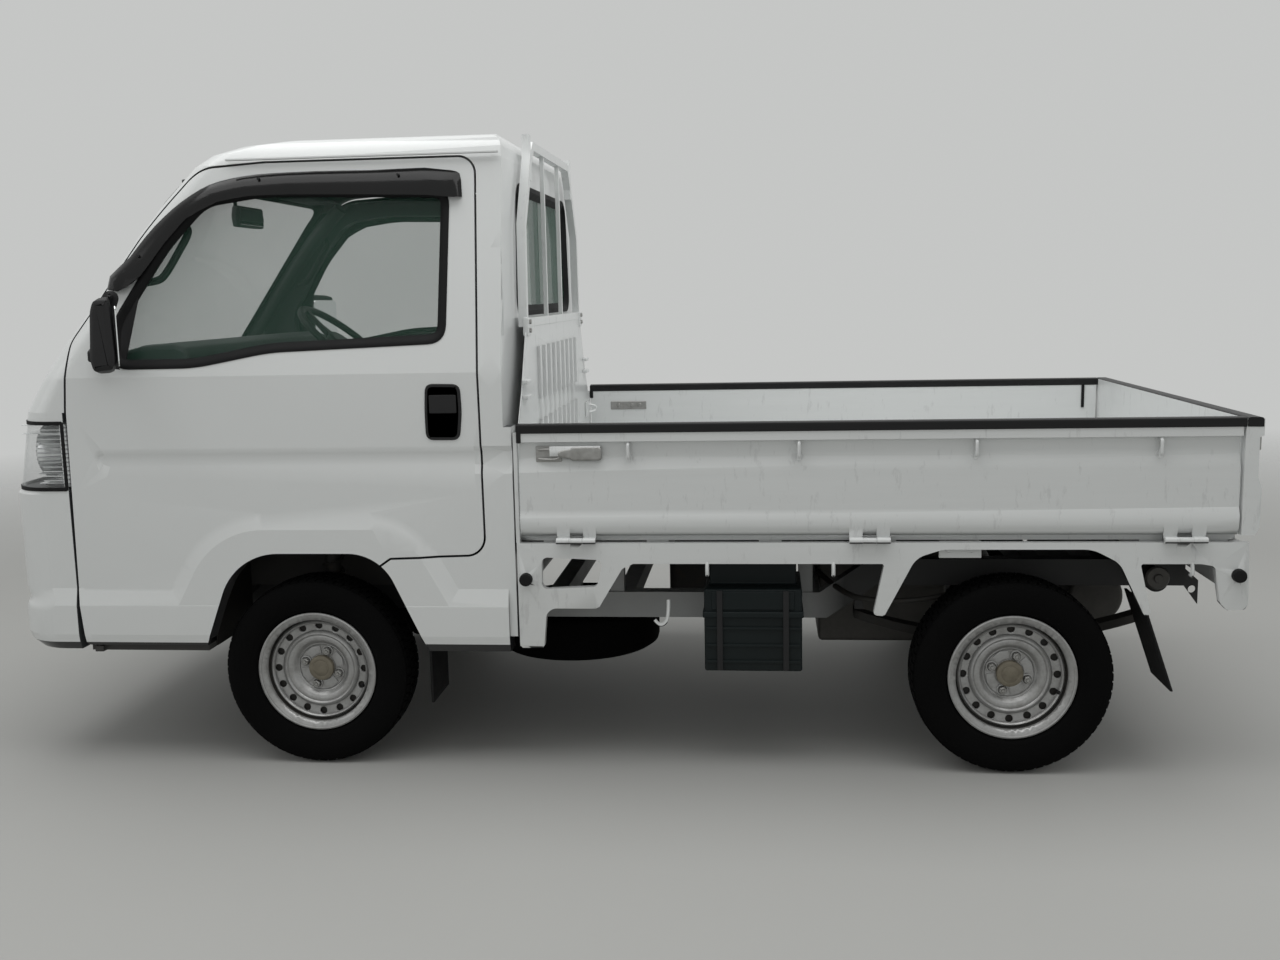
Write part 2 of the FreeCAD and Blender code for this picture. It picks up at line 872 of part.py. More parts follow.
def make_doors():
    """Both doors: a skin to the full outline, a rebated inside, a wheel arch and a window."""
    window = side_prism(window_corners(), 300, 900)
    skin = outer.cut(cab_form(S.door_skin, S.door_skin, 0, 0, 50)).common(side_prism(door_corners(), 300, 900))
    inside = wall.common(side_prism(door_corners(), 300, 900, -S.door_rebate))
    door = one_solid(one_solid(skin).fuse(one_solid(inside)).cut(arch_hole).cut(window))
    axis_x, axis_y = door_axis()
    bore_radius = float(S.hinge_pin_radius + S.pin_clearance)
    bore_long = float(S.hinge_pin_long + S.step_thick + 5)
    bore_foot = Vector(float(axis_x), float(axis_y), float(S.step_low))
    bore = Part.makeCylinder(bore_radius, bore_long, bore_foot)
    door = one_solid(door.cut(bore))
    inset = S.glass_inset + S.glass_wall
    pane = cab_form(S.glass_inset, S.glass_inset, 0, 0, 50).cut(cab_form(inset, inset, 0, 0, 60))
    glass = one_solid(pane.common(window))
    for side, flip in (("left", False), ("right", True)):
        for name, shape in (("door", door), ("door_glass", glass)):
            piece = shape.mirror(Vector(), Vector(0, 1, 0)) if flip else shape
            node(f"{name}_{side}", solid(piece))


def skin_at(z):
    """How far out the mirror's foot meets the door's leaning skin."""
    return S.cab_half_width - (z - S.belt_height) * S.cab_lean + S.seat_fit


def make_mirrors():
    """A black mirror head on a short arm from each door's front corner."""
    inner_y = S.cab_half_width + S.mirror_standoff
    head = box((S.mirror_x - S.mirror_deep / 2, S.mirror_x + S.mirror_deep / 2),
               (inner_y, inner_y + S.mirror_wide), (S.mirror_low, S.mirror_low + S.mirror_tall))
    soft = doc.addObject("Part::Fillet", "soft_head")
    soft.Base = head
    edge_round = float(S.mirror_round)
    soft.Edges = [(i, edge_round, edge_round) for i in range(1, 13)]
    low = S.mirror_low + S.mirror_foot_low
    high = low + S.mirror_foot_tall
    foot = pad("YZ_Plane", [
        (skin_at(low), low), (inner_y + 30, low + 8), (inner_y + 30, low + 36), (skin_at(high), high),
    ], S.window_front + 10, S.window_front + 50)
    arm = rod(S.mirror_arm_radius, S.mirror_x, S.window_front + 30, y=inner_y + 16, z=low + 22, along="X")
    left = node("door_mirror_left", fuse(soft, foot, arm))
    node("door_mirror_right", mirrored(left))


def make_floor():
    """The footwell, the step up to the seat deck and the walls round the front wheels."""
    inside = S.cab_half_width - S.side_wall - 2 * S.panel_gap
    thick = S.floor_wall
    back = S.cab_back + S.back_wall + S.seat_fit
    level = (S.footwell_floor, S.footwell_floor + thick)
    footwell = box((S.housing_front, S.toeboard_start), (-inside, inside), level)
    toe_floor = box((S.toeboard_start - 5, S.toeboard_x), (-S.toeboard_half, S.toeboard_half), level)
    deck = box((back, S.housing_front + thick), (-inside, inside), (S.seat_deck, S.seat_deck + thick))
    deck_top = S.seat_deck + thick
    riser = box((S.housing_front, S.housing_front + thick), (-inside, inside), (S.footwell_floor, deck_top))
    toeboard = box((S.toeboard_x, S.toeboard_x + thick), (-S.toeboard_half, S.toeboard_half),
                   (S.footwell_floor, S.dash_top - 120))
    housings = []
    for sign in (1, -1):
        low, high = sorted((sign * S.housing_inner.value, sign * (S.housing_inner.value - thick.value)))
        housing_z = (S.rail_low + S.rail_deep, deck_top)
        housings.append(box((back, S.housing_front + thick), (low, high), housing_z))
    axis_x, axis_y = door_axis()
    low, high = S.step_low, S.step_low + S.step_thick
    steps = []
    for y_low, y_high in both_ways(inside - 60, S.step_outer):
        steps.append(box((S.arch_front_foot + 10, S.door_front - 4), (y_low, y_high), (low, high)))
    for y_low, y_high in both_ways(inside - 60, inside - 40):
        steps.append(box((S.arch_front_foot + 40, S.door_front - 40), (y_low, y_high), (low, S.footwell_floor + 2)))
    for y_low, y_high in both_ways(S.step_outer - 10, axis_y + 4):
        steps.append(box((axis_x - 12, axis_x + 12), (y_low, y_high), (low, high)))
    for sign in (1, -1):
        steps.append(rod(S.hinge_pin_radius, low, high + S.hinge_pin_long, x=axis_x, y=sign * axis_y, along="Z"))
    node("cab_floor", fuse(footwell, toe_floor, deck, riser, toeboard, *housings, *steps))


def steering_turn():
    return Rotation(Vector(0, 1, 0), -float(S.steer_tilt))


def make_dashboard():
    inside = S.cab_half_width - S.side_wall - 50
    top = S.dash_top
    corners = [
        (S.dash_back, top - S.dash_depth + 60),
        (S.dash_back, top - 60),
        (S.dash_back + 60, top),
        (S.toeboard_x - 110, top - 10),
        (S.toeboard_x - 40, top - 70),
        (S.toeboard_x - S.seat_fit, top - 130),
        (S.toeboard_x - S.seat_fit, top - S.dash_depth),
        (S.dash_back + 90, top - S.dash_depth),
    ]
    room = solid(cab_form(S.side_wall + 50, S.front_wall + 8, S.back_wall, S.roof_wall, 50))
    dash = common(pad("XZ_Plane", corners, -inside, inside), room)
    column = doc.addObject("Part::Cylinder", "column")
    column.Placement = Placement(steering_place(-float(S.column_long)), steering_turn())
    bind(column, Radius=S.column_radius, Height=S.column_long - S.hub_drop - S.seat_fit)
    node("dashboard", fuse(dash, column))


def make_seats():
    """Two seats, each a cushion on the deck and a squab against the cab's back."""
    deck = S.seat_deck + S.floor_wall
    back = S.cab_back + S.back_wall + S.seat_back_gap
    cushion_back = back + S.squab_thick + S.squab_gap
    solids = []
    for sign in (1, -1):
        low = sign * S.seat_offset - S.seat_width / 2
        high = sign * S.seat_offset + S.seat_width / 2
        cushion = box((cushion_back, cushion_back + S.cushion_long), (low, high),
                      (deck + S.seat_fit, deck + S.cushion_thick))
        squab = pad("XZ_Plane", [
            (back + S.squab_lean * 8, deck + S.seat_fit),
            (back + S.squab_thick + S.squab_lean * 2, deck + S.seat_fit),
            (back + S.squab_thick, deck + S.squab_high),
            (back, deck + S.squab_high),
            (back, deck + S.squab_foot),
        ], low, high)
        solids += [cushion, squab]
    seats = doc.addObject("Part::Compound", "seats")
    seats.Links = solids
    node("seats", seats)


def steering_place(along=0):
    """A point on the steering axis, this far from the wheel's middle towards the driver."""
    tilt = math.radians(float(S.steer_tilt))
    x = float(S.wheel_hub_x) - math.sin(tilt) * along
    z = float(S.wheel_hub_z) + math.cos(tilt) * along
    return Vector(x, -float(S.seat_offset), z)


def make_steering_wheel():
    ring = doc.addObject("Part::Torus", "ring")
    bind(ring, Radius1=S.steer_ring_radius, Radius2=S.steer_grip_radius)
    hub = doc.addObject("Part::Cylinder", "hub")
    bind(hub, Radius=S.column_radius * 2, Height=S.hub_deep, Placement__Base__z=-S.hub_drop)
    spokes = []
    for angle in (0, 120, 240):
        spoke = doc.addObject("Part::Box", "spoke")
        bind(spoke, Length=S.steer_ring_radius, Width=S.spoke_wide, Height=S.spoke_thick)
        turn = Placement(Vector(), Rotation(Vector(0, 0, 1), angle))
        middle = Vector(0, -float(S.spoke_wide) / 2, -float(S.spoke_drop))
        spoke.Placement = turn.multiply(Placement(middle, Rotation()))
        spokes.append(spoke)
    whole = fuse(ring, hub, *spokes)
    whole.Placement = Placement(steering_place(), steering_turn())
    node("steering_wheel", whole)


def gate_profile(outer, inner, sign=1):
    """The pressed section of a drop side, from its bulged foot to its flanged top."""
    bottom, top = S.gate_bottom, S.gate_top
    steps = [
        (outer - 14, bottom), (outer - 2, bottom + 20), (outer, bottom + 50), (outer - 9, bottom + 72),
        (outer - 9, bottom + 171), (outer - 20, bottom + 207), (outer - 20, bottom + 250), (outer, bottom + 254),
        (outer, top), (inner, top), (inner, bottom),
    ]
    return [(sign * across, up) for across, up in steps]


HOOK_PLACES = (-89, -536, -988, -1445)
HINGE_MIDDLES = (55, -718, -1511)
TAIL_HINGES = (-520, 0, 520)


def hinge_axis():
    """The height of the drop sides' hinge pins and how far out they lie."""
    return S.gate_bottom - S.gate_hinge_drop, half_width + S.gate_hinge_proud


def outer_thirds(middle):
    """Where the two barrels of a hinge start and end that the gate carries."""
    third = S.hinge_long / 3
    starts = (middle - S.hinge_long / 2, middle + third / 2)
    return [(start, start + third - S.hinge_gap) for start in starts]


def middle_third(middle):
    """Where the barrel of a hinge starts and ends that the bed carries."""
    third = S.hinge_long / 3
    return middle - third / 2 + S.hinge_gap, middle + third / 2 - S.hinge_gap


def gate_knuckles(axis_z, axis_y):
    """The outer two thirds of each hinge, which the gate carries."""
    knuckles = []
    for middle in HINGE_MIDDLES:
        for start, end in outer_thirds(middle):
            knuckles.append(rod(S.hinge_barrel_radius, start, end, y=axis_y, z=axis_z, along="X"))
            leaf_y = (half_width - S.hinge_edge, axis_y + S.hinge_leaf)
            knuckles.append(box((start, end), leaf_y, (axis_z, S.gate_bottom + S.hinge_reach)))
    return knuckles


def make_side_gates():
    axis_z, axis_y = hinge_axis()
    panel = pad("YZ_Plane", gate_profile(half_width, S.gate_inner), -S.bed_back + S.tailgate_gap, S.bed_front)
    hooks = []
    hook_z = (S.gate_bottom + S.hook_low, S.gate_bottom + S.hook_high)
    for x in HOOK_PLACES:
        hooks.append(rod(S.hook_radius, *hook_z, x=x, y=half_width - S.hook_inset, along="Z"))
    latch = box((S.latch_back, S.latch_front), (half_width - S.latch_deep, half_width - 1),
                (S.gate_bottom + S.latch_low, S.gate_bottom + S.latch_high))
    left = node("gate_left", fuse(panel, latch, *hooks, *gate_knuckles(axis_z, axis_y)))
    node("gate_right", mirrored(left))


def tail_axis():
    """How far back the tailgate's hinge pins lie, with their barrels at the rear extreme."""
    return S.tail_barrel_radius - half_length


def make_tailgate():
    axis_z, _ = hinge_axis()
    axis_x = tail_axis()
    bottom, top = S.gate_bottom, S.gate_top
    outer = -S.tailgate_outer
    inner = -S.bed_back
    side = [
        (outer + 12, bottom), (outer + 1, bottom + 20), (outer, bottom + 120), (outer + 10, bottom + 150),
        (outer + 10, bottom + 250), (outer, bottom + 254), (outer, top), (inner, top), (inner, bottom),
    ]
    panel = pad("XZ_Plane", side, -half_width, half_width)
    knuckles = []
    leaf_x = (axis_x - S.hinge_leaf, axis_x + S.hinge_edge)
    for middle in TAIL_HINGES:
        for start, end in outer_thirds(middle):
            knuckles.append(rod(S.tail_barrel_radius, start, end, x=axis_x, z=axis_z))
            knuckles.append(box(leaf_x, (start, end), (axis_z, bottom + S.tail_leaf_high)))
    node("tailgate", fuse(panel, *knuckles))


def make_bed():
    """The load floor with its pressed ribs and the beams under it."""
    inner = S.gate_inner - 4
    top = S.floor_top
    low = top - S.floor_thick
    back = -S.bed_back + 2
    front = S.headboard_x - S.seat_fit
    plate = box((back, front), (-inner, inner), (low, top - S.floor_rib_depth))
    ribs = []
    pitch = S.floor_rib_wide * 2
    count = int(inner.value // pitch.value)
    for i in range(-count, count + 1):
        middle = pitch * i
        ribs.append(box((back, front), (middle - S.floor_rib_wide / 2, middle + S.floor_rib_wide / 2),
                        (top - S.floor_rib_depth, top)))
    beams = []
    for x in (120, -160, -460, -760, -1440, -1600):
        beams.append(box((x - S.crossbeam_wide / 2, x + S.crossbeam_wide / 2), (-inner, inner),
                         (low - S.crossbeam_depth, low)))
    node("bed_floor", fuse(plate, *ribs, *beams))


def skirt_shape():
    """One side's skirt under the gate, with its legs, its arch and its window."""
    low, top, leg = float(S.skirt_low), float(S.skirt_top), float(S.skirt_leg_low)
    arch_low = low - 102
    wheel_x = float(rear_axle)
    corners = [
        (218, top, 0), (218, leg, 8), (152, leg, 8),
        (142, 455, 30), (1, 455, 12), (-66, 565, 20), (-95, low, 10),
        (-757, low, 6), (-729, 440, 8), (-758, 438, 8),
        (wheel_x + 258, 594, 60), (wheel_x + 190, 616, 90),
        (wheel_x - 190, 616, 90), (wheel_x - 258, 580, 60),
        (-1420, 441, 8), (-1436, 447, 6), (-1406, low, 6),
        (-1556, low, 10), (-1590, low - 6, 14), (-1606, arch_low, 12),
        (-1624, 457, 8), (-1668, 459, 10), (-1676, arch_low, 6), (-1671, top, 0),
    ]
    window = [(151, 596, 16), (-15, 588, 16), (3, 515, 16), (154, 508, 16)]
    outer_y = float(S.skirt_outer)
    skirt = side_prism(corners, outer_y - float(S.skirt_wall), outer_y)
    return skirt.cut(side_prism(window, 0, 900))


def make_skirts():
    axis_z, axis_y = hinge_axis()
    skirt = solid(skirt_shape())
    parts = [skirt]
    for middle in HINGE_MIDDLES:
        start, end = middle_third(middle)
        parts.append(rod(S.hinge_barrel_radius, start, end, y=axis_y, z=axis_z, along="X"))
        parts.append(box((start, end), (S.skirt_outer - 12, axis_y), (S.skirt_top - S.hinge_reach, axis_z)))
    for x, z in ((195, 536), (-1648, 549)):
        parts.append(rod(S.stop_radius, S.skirt_outer, half_width + S.stop_proud, x=x, z=z))
    pair("bed_skirts", fuse(*parts))


def make_rear_panel():
    """The panel under the tailgate, with the fixed middle of each of its hinges."""
    axis_z, _ = hinge_axis()
    axis_x = tail_axis()
    outer = -S.bed_back - S.rear_panel_out
    inner_y = S.skirt_outer - S.skirt_wall - S.seat_fit
    panel = box((outer, outer + S.rear_panel_wall), (-inner_y, inner_y), (S.rear_panel_low, S.skirt_top))
    parts = [panel]
    for middle in TAIL_HINGES:
        start, end = middle_third(middle)
        parts.append(rod(S.tail_barrel_radius, start, end, x=axis_x, z=axis_z))
        parts.append(box((axis_x, outer + S.hinge_edge), (start, end), (axis_z - S.tail_leaf_high, axis_z)))
        parts.append(box((outer, outer + S.rear_panel_out), (start, end), (S.skirt_top - S.hinge_edge, axis_z)))
    node("rear_panel", fuse(*parts))
    lamp_y = inner_y - S.tail_lamp_inset
    tail_lamp = box((outer - S.tail_lamp_deep, outer - S.seat_fit), (lamp_y - S.tail_lamp_wide, lamp_y),
                    (S.tail_lamp_low, S.tail_lamp_top))
    lamps = doc.addObject("Part::Compound", "lamps")
    lamps.Links = [*headlamps, tail_lamp, mirrored(tail_lamp)]
    node("lamps", lamps)


def make_headboard():
    """The ribbed wall between cab and bed, narrowing to the guard, with its corner posts."""
    x = S.headboard_x
    foot = S.gate_inner - 4
    drop, slope, shoulder = S.headboard_drop, S.headboard_slope, S.headboard_shoulder + 30
    plate = pad("YZ_Plane", [
        (-foot, S.floor_top - S.floor_thick), (foot, S.floor_top - S.floor_thick), (foot, S.gate_top - drop),
        (S.headboard_top_half + slope, shoulder), (S.headboard_top_half, S.headboard_top),
        (-S.headboard_top_half, S.headboard_top), (-S.headboard_top_half - slope, shoulder),
        (-foot, S.gate_top - drop),
    ], x, x + S.headboard_wall)
    ribs = []
    for i in range(-4, 5):
        middle = S.rib_pitch * i
        for low, high in ((S.floor_top + 20, S.floor_top + 270), (S.floor_top + 330, S.headboard_top - 60)):
            ribs.append(box((x - S.headboard_rib, x), (middle - S.rib_half, middle + S.rib_half), (low, high)))
    posts = []
    for sign in (1, -1):
        outer = half_width.value - S.post_inset.value
        low, high = sorted((sign * S.gate_inner.value, sign * outer))
        post_x = (S.bed_front + 5, x + S.headboard_wall + 4)
        posts.append(box(post_x, (low, high), (S.skirt_top, S.gate_top - S.post_drop)))
        low, high = sorted((sign * (foot.value - 8), sign * outer))
        posts.append(box((x, x + S.headboard_wall + 4), (low, high), (S.skirt_top, S.gate_top - drop)))
    node("headboard", fuse(plate, *ribs, *posts))


def make_guard():
    """The tube frame behind the rear window: two bent posts, a top bar and two upright bars."""
    tube = S.guard_tube
    x = S.headboard_x + S.headboard_wall - 2
    low = S.headboard_top + S.seat_fit
    top = S.overall_height
    bar_top = top - S.guard_top_drop
    ring_out = [
        (-S.headboard_top_half, low), (S.headboard_top_half, low), (S.guard_half_mid, S.guard_mid_height),
        (S.guard_half_top + S.guard_shoulder_run, top - S.guard_shoulder), (S.guard_half_top, bar_top),
        (-S.guard_half_top, bar_top), (-S.guard_half_top - S.guard_shoulder_run, top - S.guard_shoulder),
        (-S.guard_half_mid, S.guard_mid_height),
    ]
    ring_in = [
        (tube - S.headboard_top_half, low + tube), (S.headboard_top_half - tube, low + tube),
        (S.guard_half_mid - tube, S.guard_mid_height - 6), (S.guard_half_top + 22, top - 76),
        (S.guard_half_top - 12, bar_top - tube), (12 - S.guard_half_top, bar_top - tube),
        (-S.guard_half_top - 22, top - 76), (tube - S.guard_half_mid, S.guard_mid_height - 6),
    ]
    ring = cut(pad("YZ_Plane", ring_out, x - 3, x - 3 + tube), pad("YZ_Plane", ring_in, x - 20, x + 40))
    bars = []
    for sign in (1, -1):
        middle = sign * S.guard_bar_half
        bar_y = (middle - S.guard_bar_wall, middle + S.guard_bar_wall)
        bars.append(box((x, x + S.guard_bar_deep), bar_y, (low + 10, top - 20)))
        ear = sign * (S.guard_half_top + S.guard_ear)
        ear_y = (ear - S.guard_ear_wall, ear + S.guard_ear_wall)
        bars.append(box((x - 3, x + tube - 3), ear_y, (top - S.guard_ear_tall, top)))
    node("guard_frame", fuse(ring, *bars))


def rail_shape():
    """One frame rail: it steps outward behind the cab and rises over the rear axle."""
    front, back = float(S.rail_front_offset), float(S.rail_back_offset)
    wide = float(S.rail_wide)
    low, deep, kick = float(S.rail_low), float(S.rail_deep), float(S.rail_kick)
    end = float(S.rail_back_end)
    plan = [
        (1560, front), (480, front), (420, back), (end, back), (end, back + wide), (400, back + wide),
        (460, front + wide), (1560, front + wide),
    ]
    face = Part.Face(Part.makePolygon([Vector(x, y, 0) for x, y in plan + plan[:1]]))
    dip = float(S.rail_dip)
    dip_start, dip_end = float(S.dip_start), float(S.dip_end)
    side = [
        (1560, low - dip), (dip_end, low - dip), (dip_start, low), (-620, low), (-760, low + kick),
        (end, low + kick), (end, low + kick + deep),
        (-740, low + kick + deep), (-600, low + deep), (dip_start, low + deep),
        (dip_end, low + deep - dip), (1560, low + deep - dip),
    ]
    return face.extrude(Vector(0, 0, 900)).common(side_prism([(x, z, 0) for x, z in side], 0, 900))


def make_frame():
    """The ladder frame, with the outriggers, spring hangers and spare wheel post it carries."""
    rail = rail_shape()
    low, deep, kick = S.rail_low, S.rail_deep, S.rail_kick
    high = low + deep
    inner, outer_y = S.rail_back_offset, S.rail_back_offset + S.rail_wide
    half = S.member_wide / 2
    parts = [solid(rail), solid(rail.mirror(Vector(), Vector(0, 1, 0)))]
    near = S.rail_front_offset
    for x, dip in ((1500, S.rail_dip), (1000, 0)):
        parts.append(box((x - half, x + half), (-near, near), (low + 10 - dip, high - 10 - dip)))
    for x in (380, S.spare_x, -40, S.engine_member):
        parts.append(box((x - half, x + half), (-inner, inner), (low + 10, high - 10)))
    for x in (-1200, S.muffler_x, -1560):
        parts.append(box((x - half, x + half), (-inner, inner), (low + kick + 10, high + kick - 10)))
    beam_foot = S.floor_top - S.floor_thick - S.crossbeam_depth
    skirt_face = S.skirt_outer - S.skirt_wall - S.seat_fit
    for x, lift in ((-20, 0), (-560, 0), (-800, kick), (-1425, kick)):
        for y, foot_y in zip(both_ways(inner + 5, skirt_face), both_ways(inner + 5, outer_y - 5)):
            arm = box((x - 20, x + 20), y, (beam_foot - 10, beam_foot))
            post = box((x - 20, x + 20), foot_y, (high + lift, beam_foot - 5))
            parts.append(fuse(arm, post))
    spring_end = S.tyre_radius + S.axle_radius + S.spring_camber + S.spring_depth + 2 * S.seat_fit
    for x in (rear_axle - S.spring_length / 2 + 14, rear_axle + S.spring_length / 2 - 14):
        for y in both_ways(inner + 5, outer_y - 5):
            hanger = box((x - 12, x + 12), y, (spring_end, low + kick))
            parts.append(cut(hanger, solid(rail), solid(rail.mirror(Vector(), Vector(0, 1, 0)))))
    parts.append(rod(15, spare_disc_top() + S.seat_fit, low + 10, x=S.spare_x, along="Z"))
    tube_x, tube_z = S.rear_tube_x, S.rear_tube_z
    for y_low, y_high in ((-inner, inner), *both_ways(outer_y, S.rear_tube_half)):
        parts.append(rod(S.rear_tube_radius, y_low, y_high, x=tube_x, z=tube_z))
    hook_x = S.rail_back_end - 42
    for y_low, y_high in both_ways(inner + 10, inner + 10 + S.tow_hook_wall):
        plate = pad("XZ_Plane", [
            (S.rail_back_end, low + kick + 50), (S.rail_back_end, low + kick + 4), (hook_x - 4, low + kick - 60),
            (hook_x - 4, low + kick + 8),
        ], y_low, y_high)
        parts.append(cut(plate, rod(S.tow_hook_hole, y_low - 5, y_high + 5, x=hook_x + 12, z=low + kick - 18)))
    frame = doc.addObject("Part::Compound", "frame")
    frame.Links = parts
    node("chassis_frame", frame)


def spare_disc_top():
    """The height of the disc that the spare wheel's post bears on."""
    return S.spare_low + S.tyre_width / 2 - S.disc_offset + S.disc_dish + S.disc_wall


def make_running_gear():
    """The engine block, the rear axle on its leaf springs, and the front arms and struts."""
    axle_z = S.tyre_radius
    engine_front = S.engine_member - S.member_wide / 2 - S.seat_fit
    engine_x = (engine_front - S.engine_long, engine_front)
    node("engine_block", box(engine_x, (-S.engine_half, S.engine_half), (S.engine_low, S.engine_high)))
    reach = wheel_y - S.rim_width / 2 - 20
    beam = rod(S.axle_radius, -reach, reach, x=rear_axle, z=axle_z)
    spindles = rod(S.spindle_radius, -wheel_y, wheel_y, x=rear_axle, z=axle_z)
    leaf = solid(leaf_shape())
    rear = doc.addObject("Part::Compound", "rear")
    rear.Links = [fuse(beam, spindles), leaf, mirrored(leaf)]
    node("rear_suspension", rear)
    arm_z = axle_z - S.arm_drop
    x = (front_axle - 40, front_axle + 40)
    inner = S.rail_front_offset
    arm_deep = (arm_z - S.bracket_wall - S.seat_fit, arm_z - S.seat_fit)
    arm = box(x, (inner, S.kingpin_offset - S.brake_radius / 2), arm_deep)
    end_x = (front_axle - S.arm_end_half, front_axle + S.arm_end_half)
    reach_y = S.kingpin_offset + S.arm_end_half - 4
    arm_end = box(end_x, (inner, reach_y), arm_deep)
    hanger = box(x, (inner, inner + S.rail_wide), (arm_z - S.bracket_wall, S.rail_low - S.seat_fit))
    top = arm_z + S.upright_height + S.seat_fit
    bracket = box(end_x, (S.strut_offset, reach_y), (top, top + S.bracket_wall))
    strut = rod(S.strut_radius, top, S.seat_deck - S.seat_fit, x=front_axle, y=S.strut_offset, along="Z")
    left = [fuse(arm, arm_end, hanger), fuse(bracket, strut)]
    front = doc.addObject("Part::Compound", "front")
    front.Links = left + [mirrored(part) for part in left]
    node("front_suspension", front)


def leaf_shape():
    """One curved leaf spring under its rail, seated on the axle."""
    middle = float(rear_axle)
    half = float(S.spring_length) / 2
    low = float(S.tyre_radius + S.axle_radius + S.seat_fit)
    camber, deep = float(S.spring_camber), float(S.spring_depth)

    def arc(z):
        back, front = Vector(middle - half, 0, z + camber), Vector(middle + half, 0, z + camber)
        return Part.Arc(back, Vector(middle, 0, z), front).toShape(), back, front

    under, back_low, front_low = arc(low)
    over, back_high, front_high = arc(low + deep)
    edges = [under, Part.makeLine(front_low, front_high), over, Part.makeLine(back_high, back_low)]
    face = Part.Face(Part.Wire(edges))
    face.translate(Vector(0, float(S.rail_back_offset), 0))
    return face.extrude(Vector(0, float(S.spring_width), 0))


def make_knuckles():
    """The steered uprights, each with the spindle that its wheel runs on."""
    axle_z = S.tyre_radius
    low = axle_z - S.arm_drop
    post = rod(S.kingpin_radius, low, low + S.upright_height, x=front_axle, y=S.kingpin_offset, along="Z")
    flange = rod(44, S.kingpin_offset - 12, S.kingpin_offset + 10, x=front_axle, z=axle_z)
    spindle = rod(S.spindle_radius, S.kingpin_offset, wheel_y, x=front_axle, z=axle_z)
    left = node("knuckle_left", fuse(post, flange, spindle))
    node("knuckle_right", mirrored(left))


def make_wheels():
    spots = [
        ("front_left", front_axle, 1), ("front_right", front_axle, -1),
        ("rear_left", rear_axle, 1), ("rear_right", rear_axle, -1),
    ]
    for name, x, side in spots:
        turn = Rotation(Vector(0, 0, 1), 0 if side > 0 else 180)
        tyre = revolve(tyre_corners())
        rim = revolve(rim_corners())
        add_vents(rim)
        for label, thing in ((f"tyre_{name}", tyre), (f"rim_{name}", rim)):
            thing.Placement = Placement(Vector(), turn)
            at(thing, x, side * wheel_y, S.tyre_radius)
            node(label, thing)


def tyre_corners():
    half, tread = S.tyre_width / 2, S.tread_width / 2
    bead = S.rim_width / 2 - S.rim_flange_wall - S.seat_fit
    side = [
        (bead, S.bead_radius), (bead, S.rim_flange_radius + 2), (half - 8, S.rim_flange_radius + 12),
        (half, S.tyre_bulge_radius), (half - 4, S.tyre_radius - 22), (tread, S.tyre_radius - 4),
        (tread - 14, S.tyre_radius),
    ]
    return side + [(-across, radius) for across, radius in reversed(side)]


def rim_corners(drum=True):
    """The section of a pressed steel wheel about its middle plane, with or without its drum."""
    half, lip, flange = S.rim_width / 2, S.rim_flange_radius, S.rim_flange_wall
    seat = S.bead_radius - S.seat_fit
    thin = S.rim_barrel_wall
    well = S.rim_well_radius
    disc, ring = S.disc_offset, S.disc_ring_radius
    face = disc - S.disc_dish
    drum_out = face - S.disc_wall
    drum_in = drum_out - S.brake_depth
    bore = S.spindle_radius + S.spindle_clearance
    cap_in = face + S.hub_proud - S.hub_cap_wall
    outside = [
        (-half, lip), (-half + flange, lip), (-half + flange, seat), (-half + 26, seat),
        (-half + 26 + S.rim_ramp, well),
        (half - 30, well), (half - 24, seat), (half - flange, seat), (half - flange, lip), (half, lip),
        (half, seat - thin), (half - 22, seat - thin), (half - 27, well - thin),
    ]
    front = [
        (disc + 1, well - thin), (disc - 4, ring + 16), (disc + 4, ring + 6), (disc + 4, ring - 4),
        (face, ring - 22), (face, S.hub_radius + 4), (face + S.hub_proud - 4, S.hub_radius),
        (face + S.hub_proud, S.hub_radius - 4), (face + S.hub_proud, 0),
    ]
    back = [
        (cap_in, 0), (cap_in, bore), (drum_in, bore), (drum_in, S.brake_radius - 6),
        (drum_in + 6, S.brake_radius), (drum_out - 5, S.brake_radius), (drum_out - 1, ring - 10),
        (disc - 2, ring + 2), (disc - 9, ring + 14), (disc - 5, well - thin),
    ]
    if not drum:
        back = [
            (drum_out, 0), (drum_out, ring - 20), (disc - 2, ring - 2), (disc - 2, ring + 2),
            (disc - 9, ring + 14), (disc - 5, well - thin),
        ]
    inside = [(-half + 27, well - thin), (-half + 22, seat - thin), (-half, seat - thin)]
    return outside + front + back + inside


def add_vents(body):
    """The ring of round vent holes through the wheel's disc."""
    outline = body.newObject("Sketcher::SketchObject", "vent")
    outline.AttachmentSupport = (origin_feature(body, "XZ_Plane"), [""])
    outline.MapMode = "FlatFace"
    ring_radius, hole_radius = float(S.vent_circle_radius), float(S.vent_hole_radius)
    outline.addGeometry(Part.Circle(Vector(0, ring_radius, 0), Vector(0, 0, 1), hole_radius))
    middle = outline.addConstraint(Sketcher.Constraint("DistanceY", -1, 1, 0, 3, ring_radius))
    outline.addConstraint(Sketcher.Constraint("PointOnObject", 0, 3, -2))
    radius = outline.addConstraint(Sketcher.Constraint("Radius", 0, hole_radius))
    outline.setExpression(f"Constraints[{middle}]", S.vent_circle_radius.text)
    outline.setExpression(f"Constraints[{radius}]", S.vent_hole_radius.text)
    hole = body.newObject("PartDesign::Pocket", "vent_hole")
    hole.Profile = outline
    hole.Midplane = True
    bind(hole, Length=S.rim_width)
    ring = body.newObject("PartDesign::PolarPattern", "vents")
    ring.Originals = [hole]
    ring.Axis = (origin_feature(body, "Y_Axis"), [""])
    ring.Angle = 360
    bind(ring, Occurrences=S.vent_holes)
    body.Tip = ring


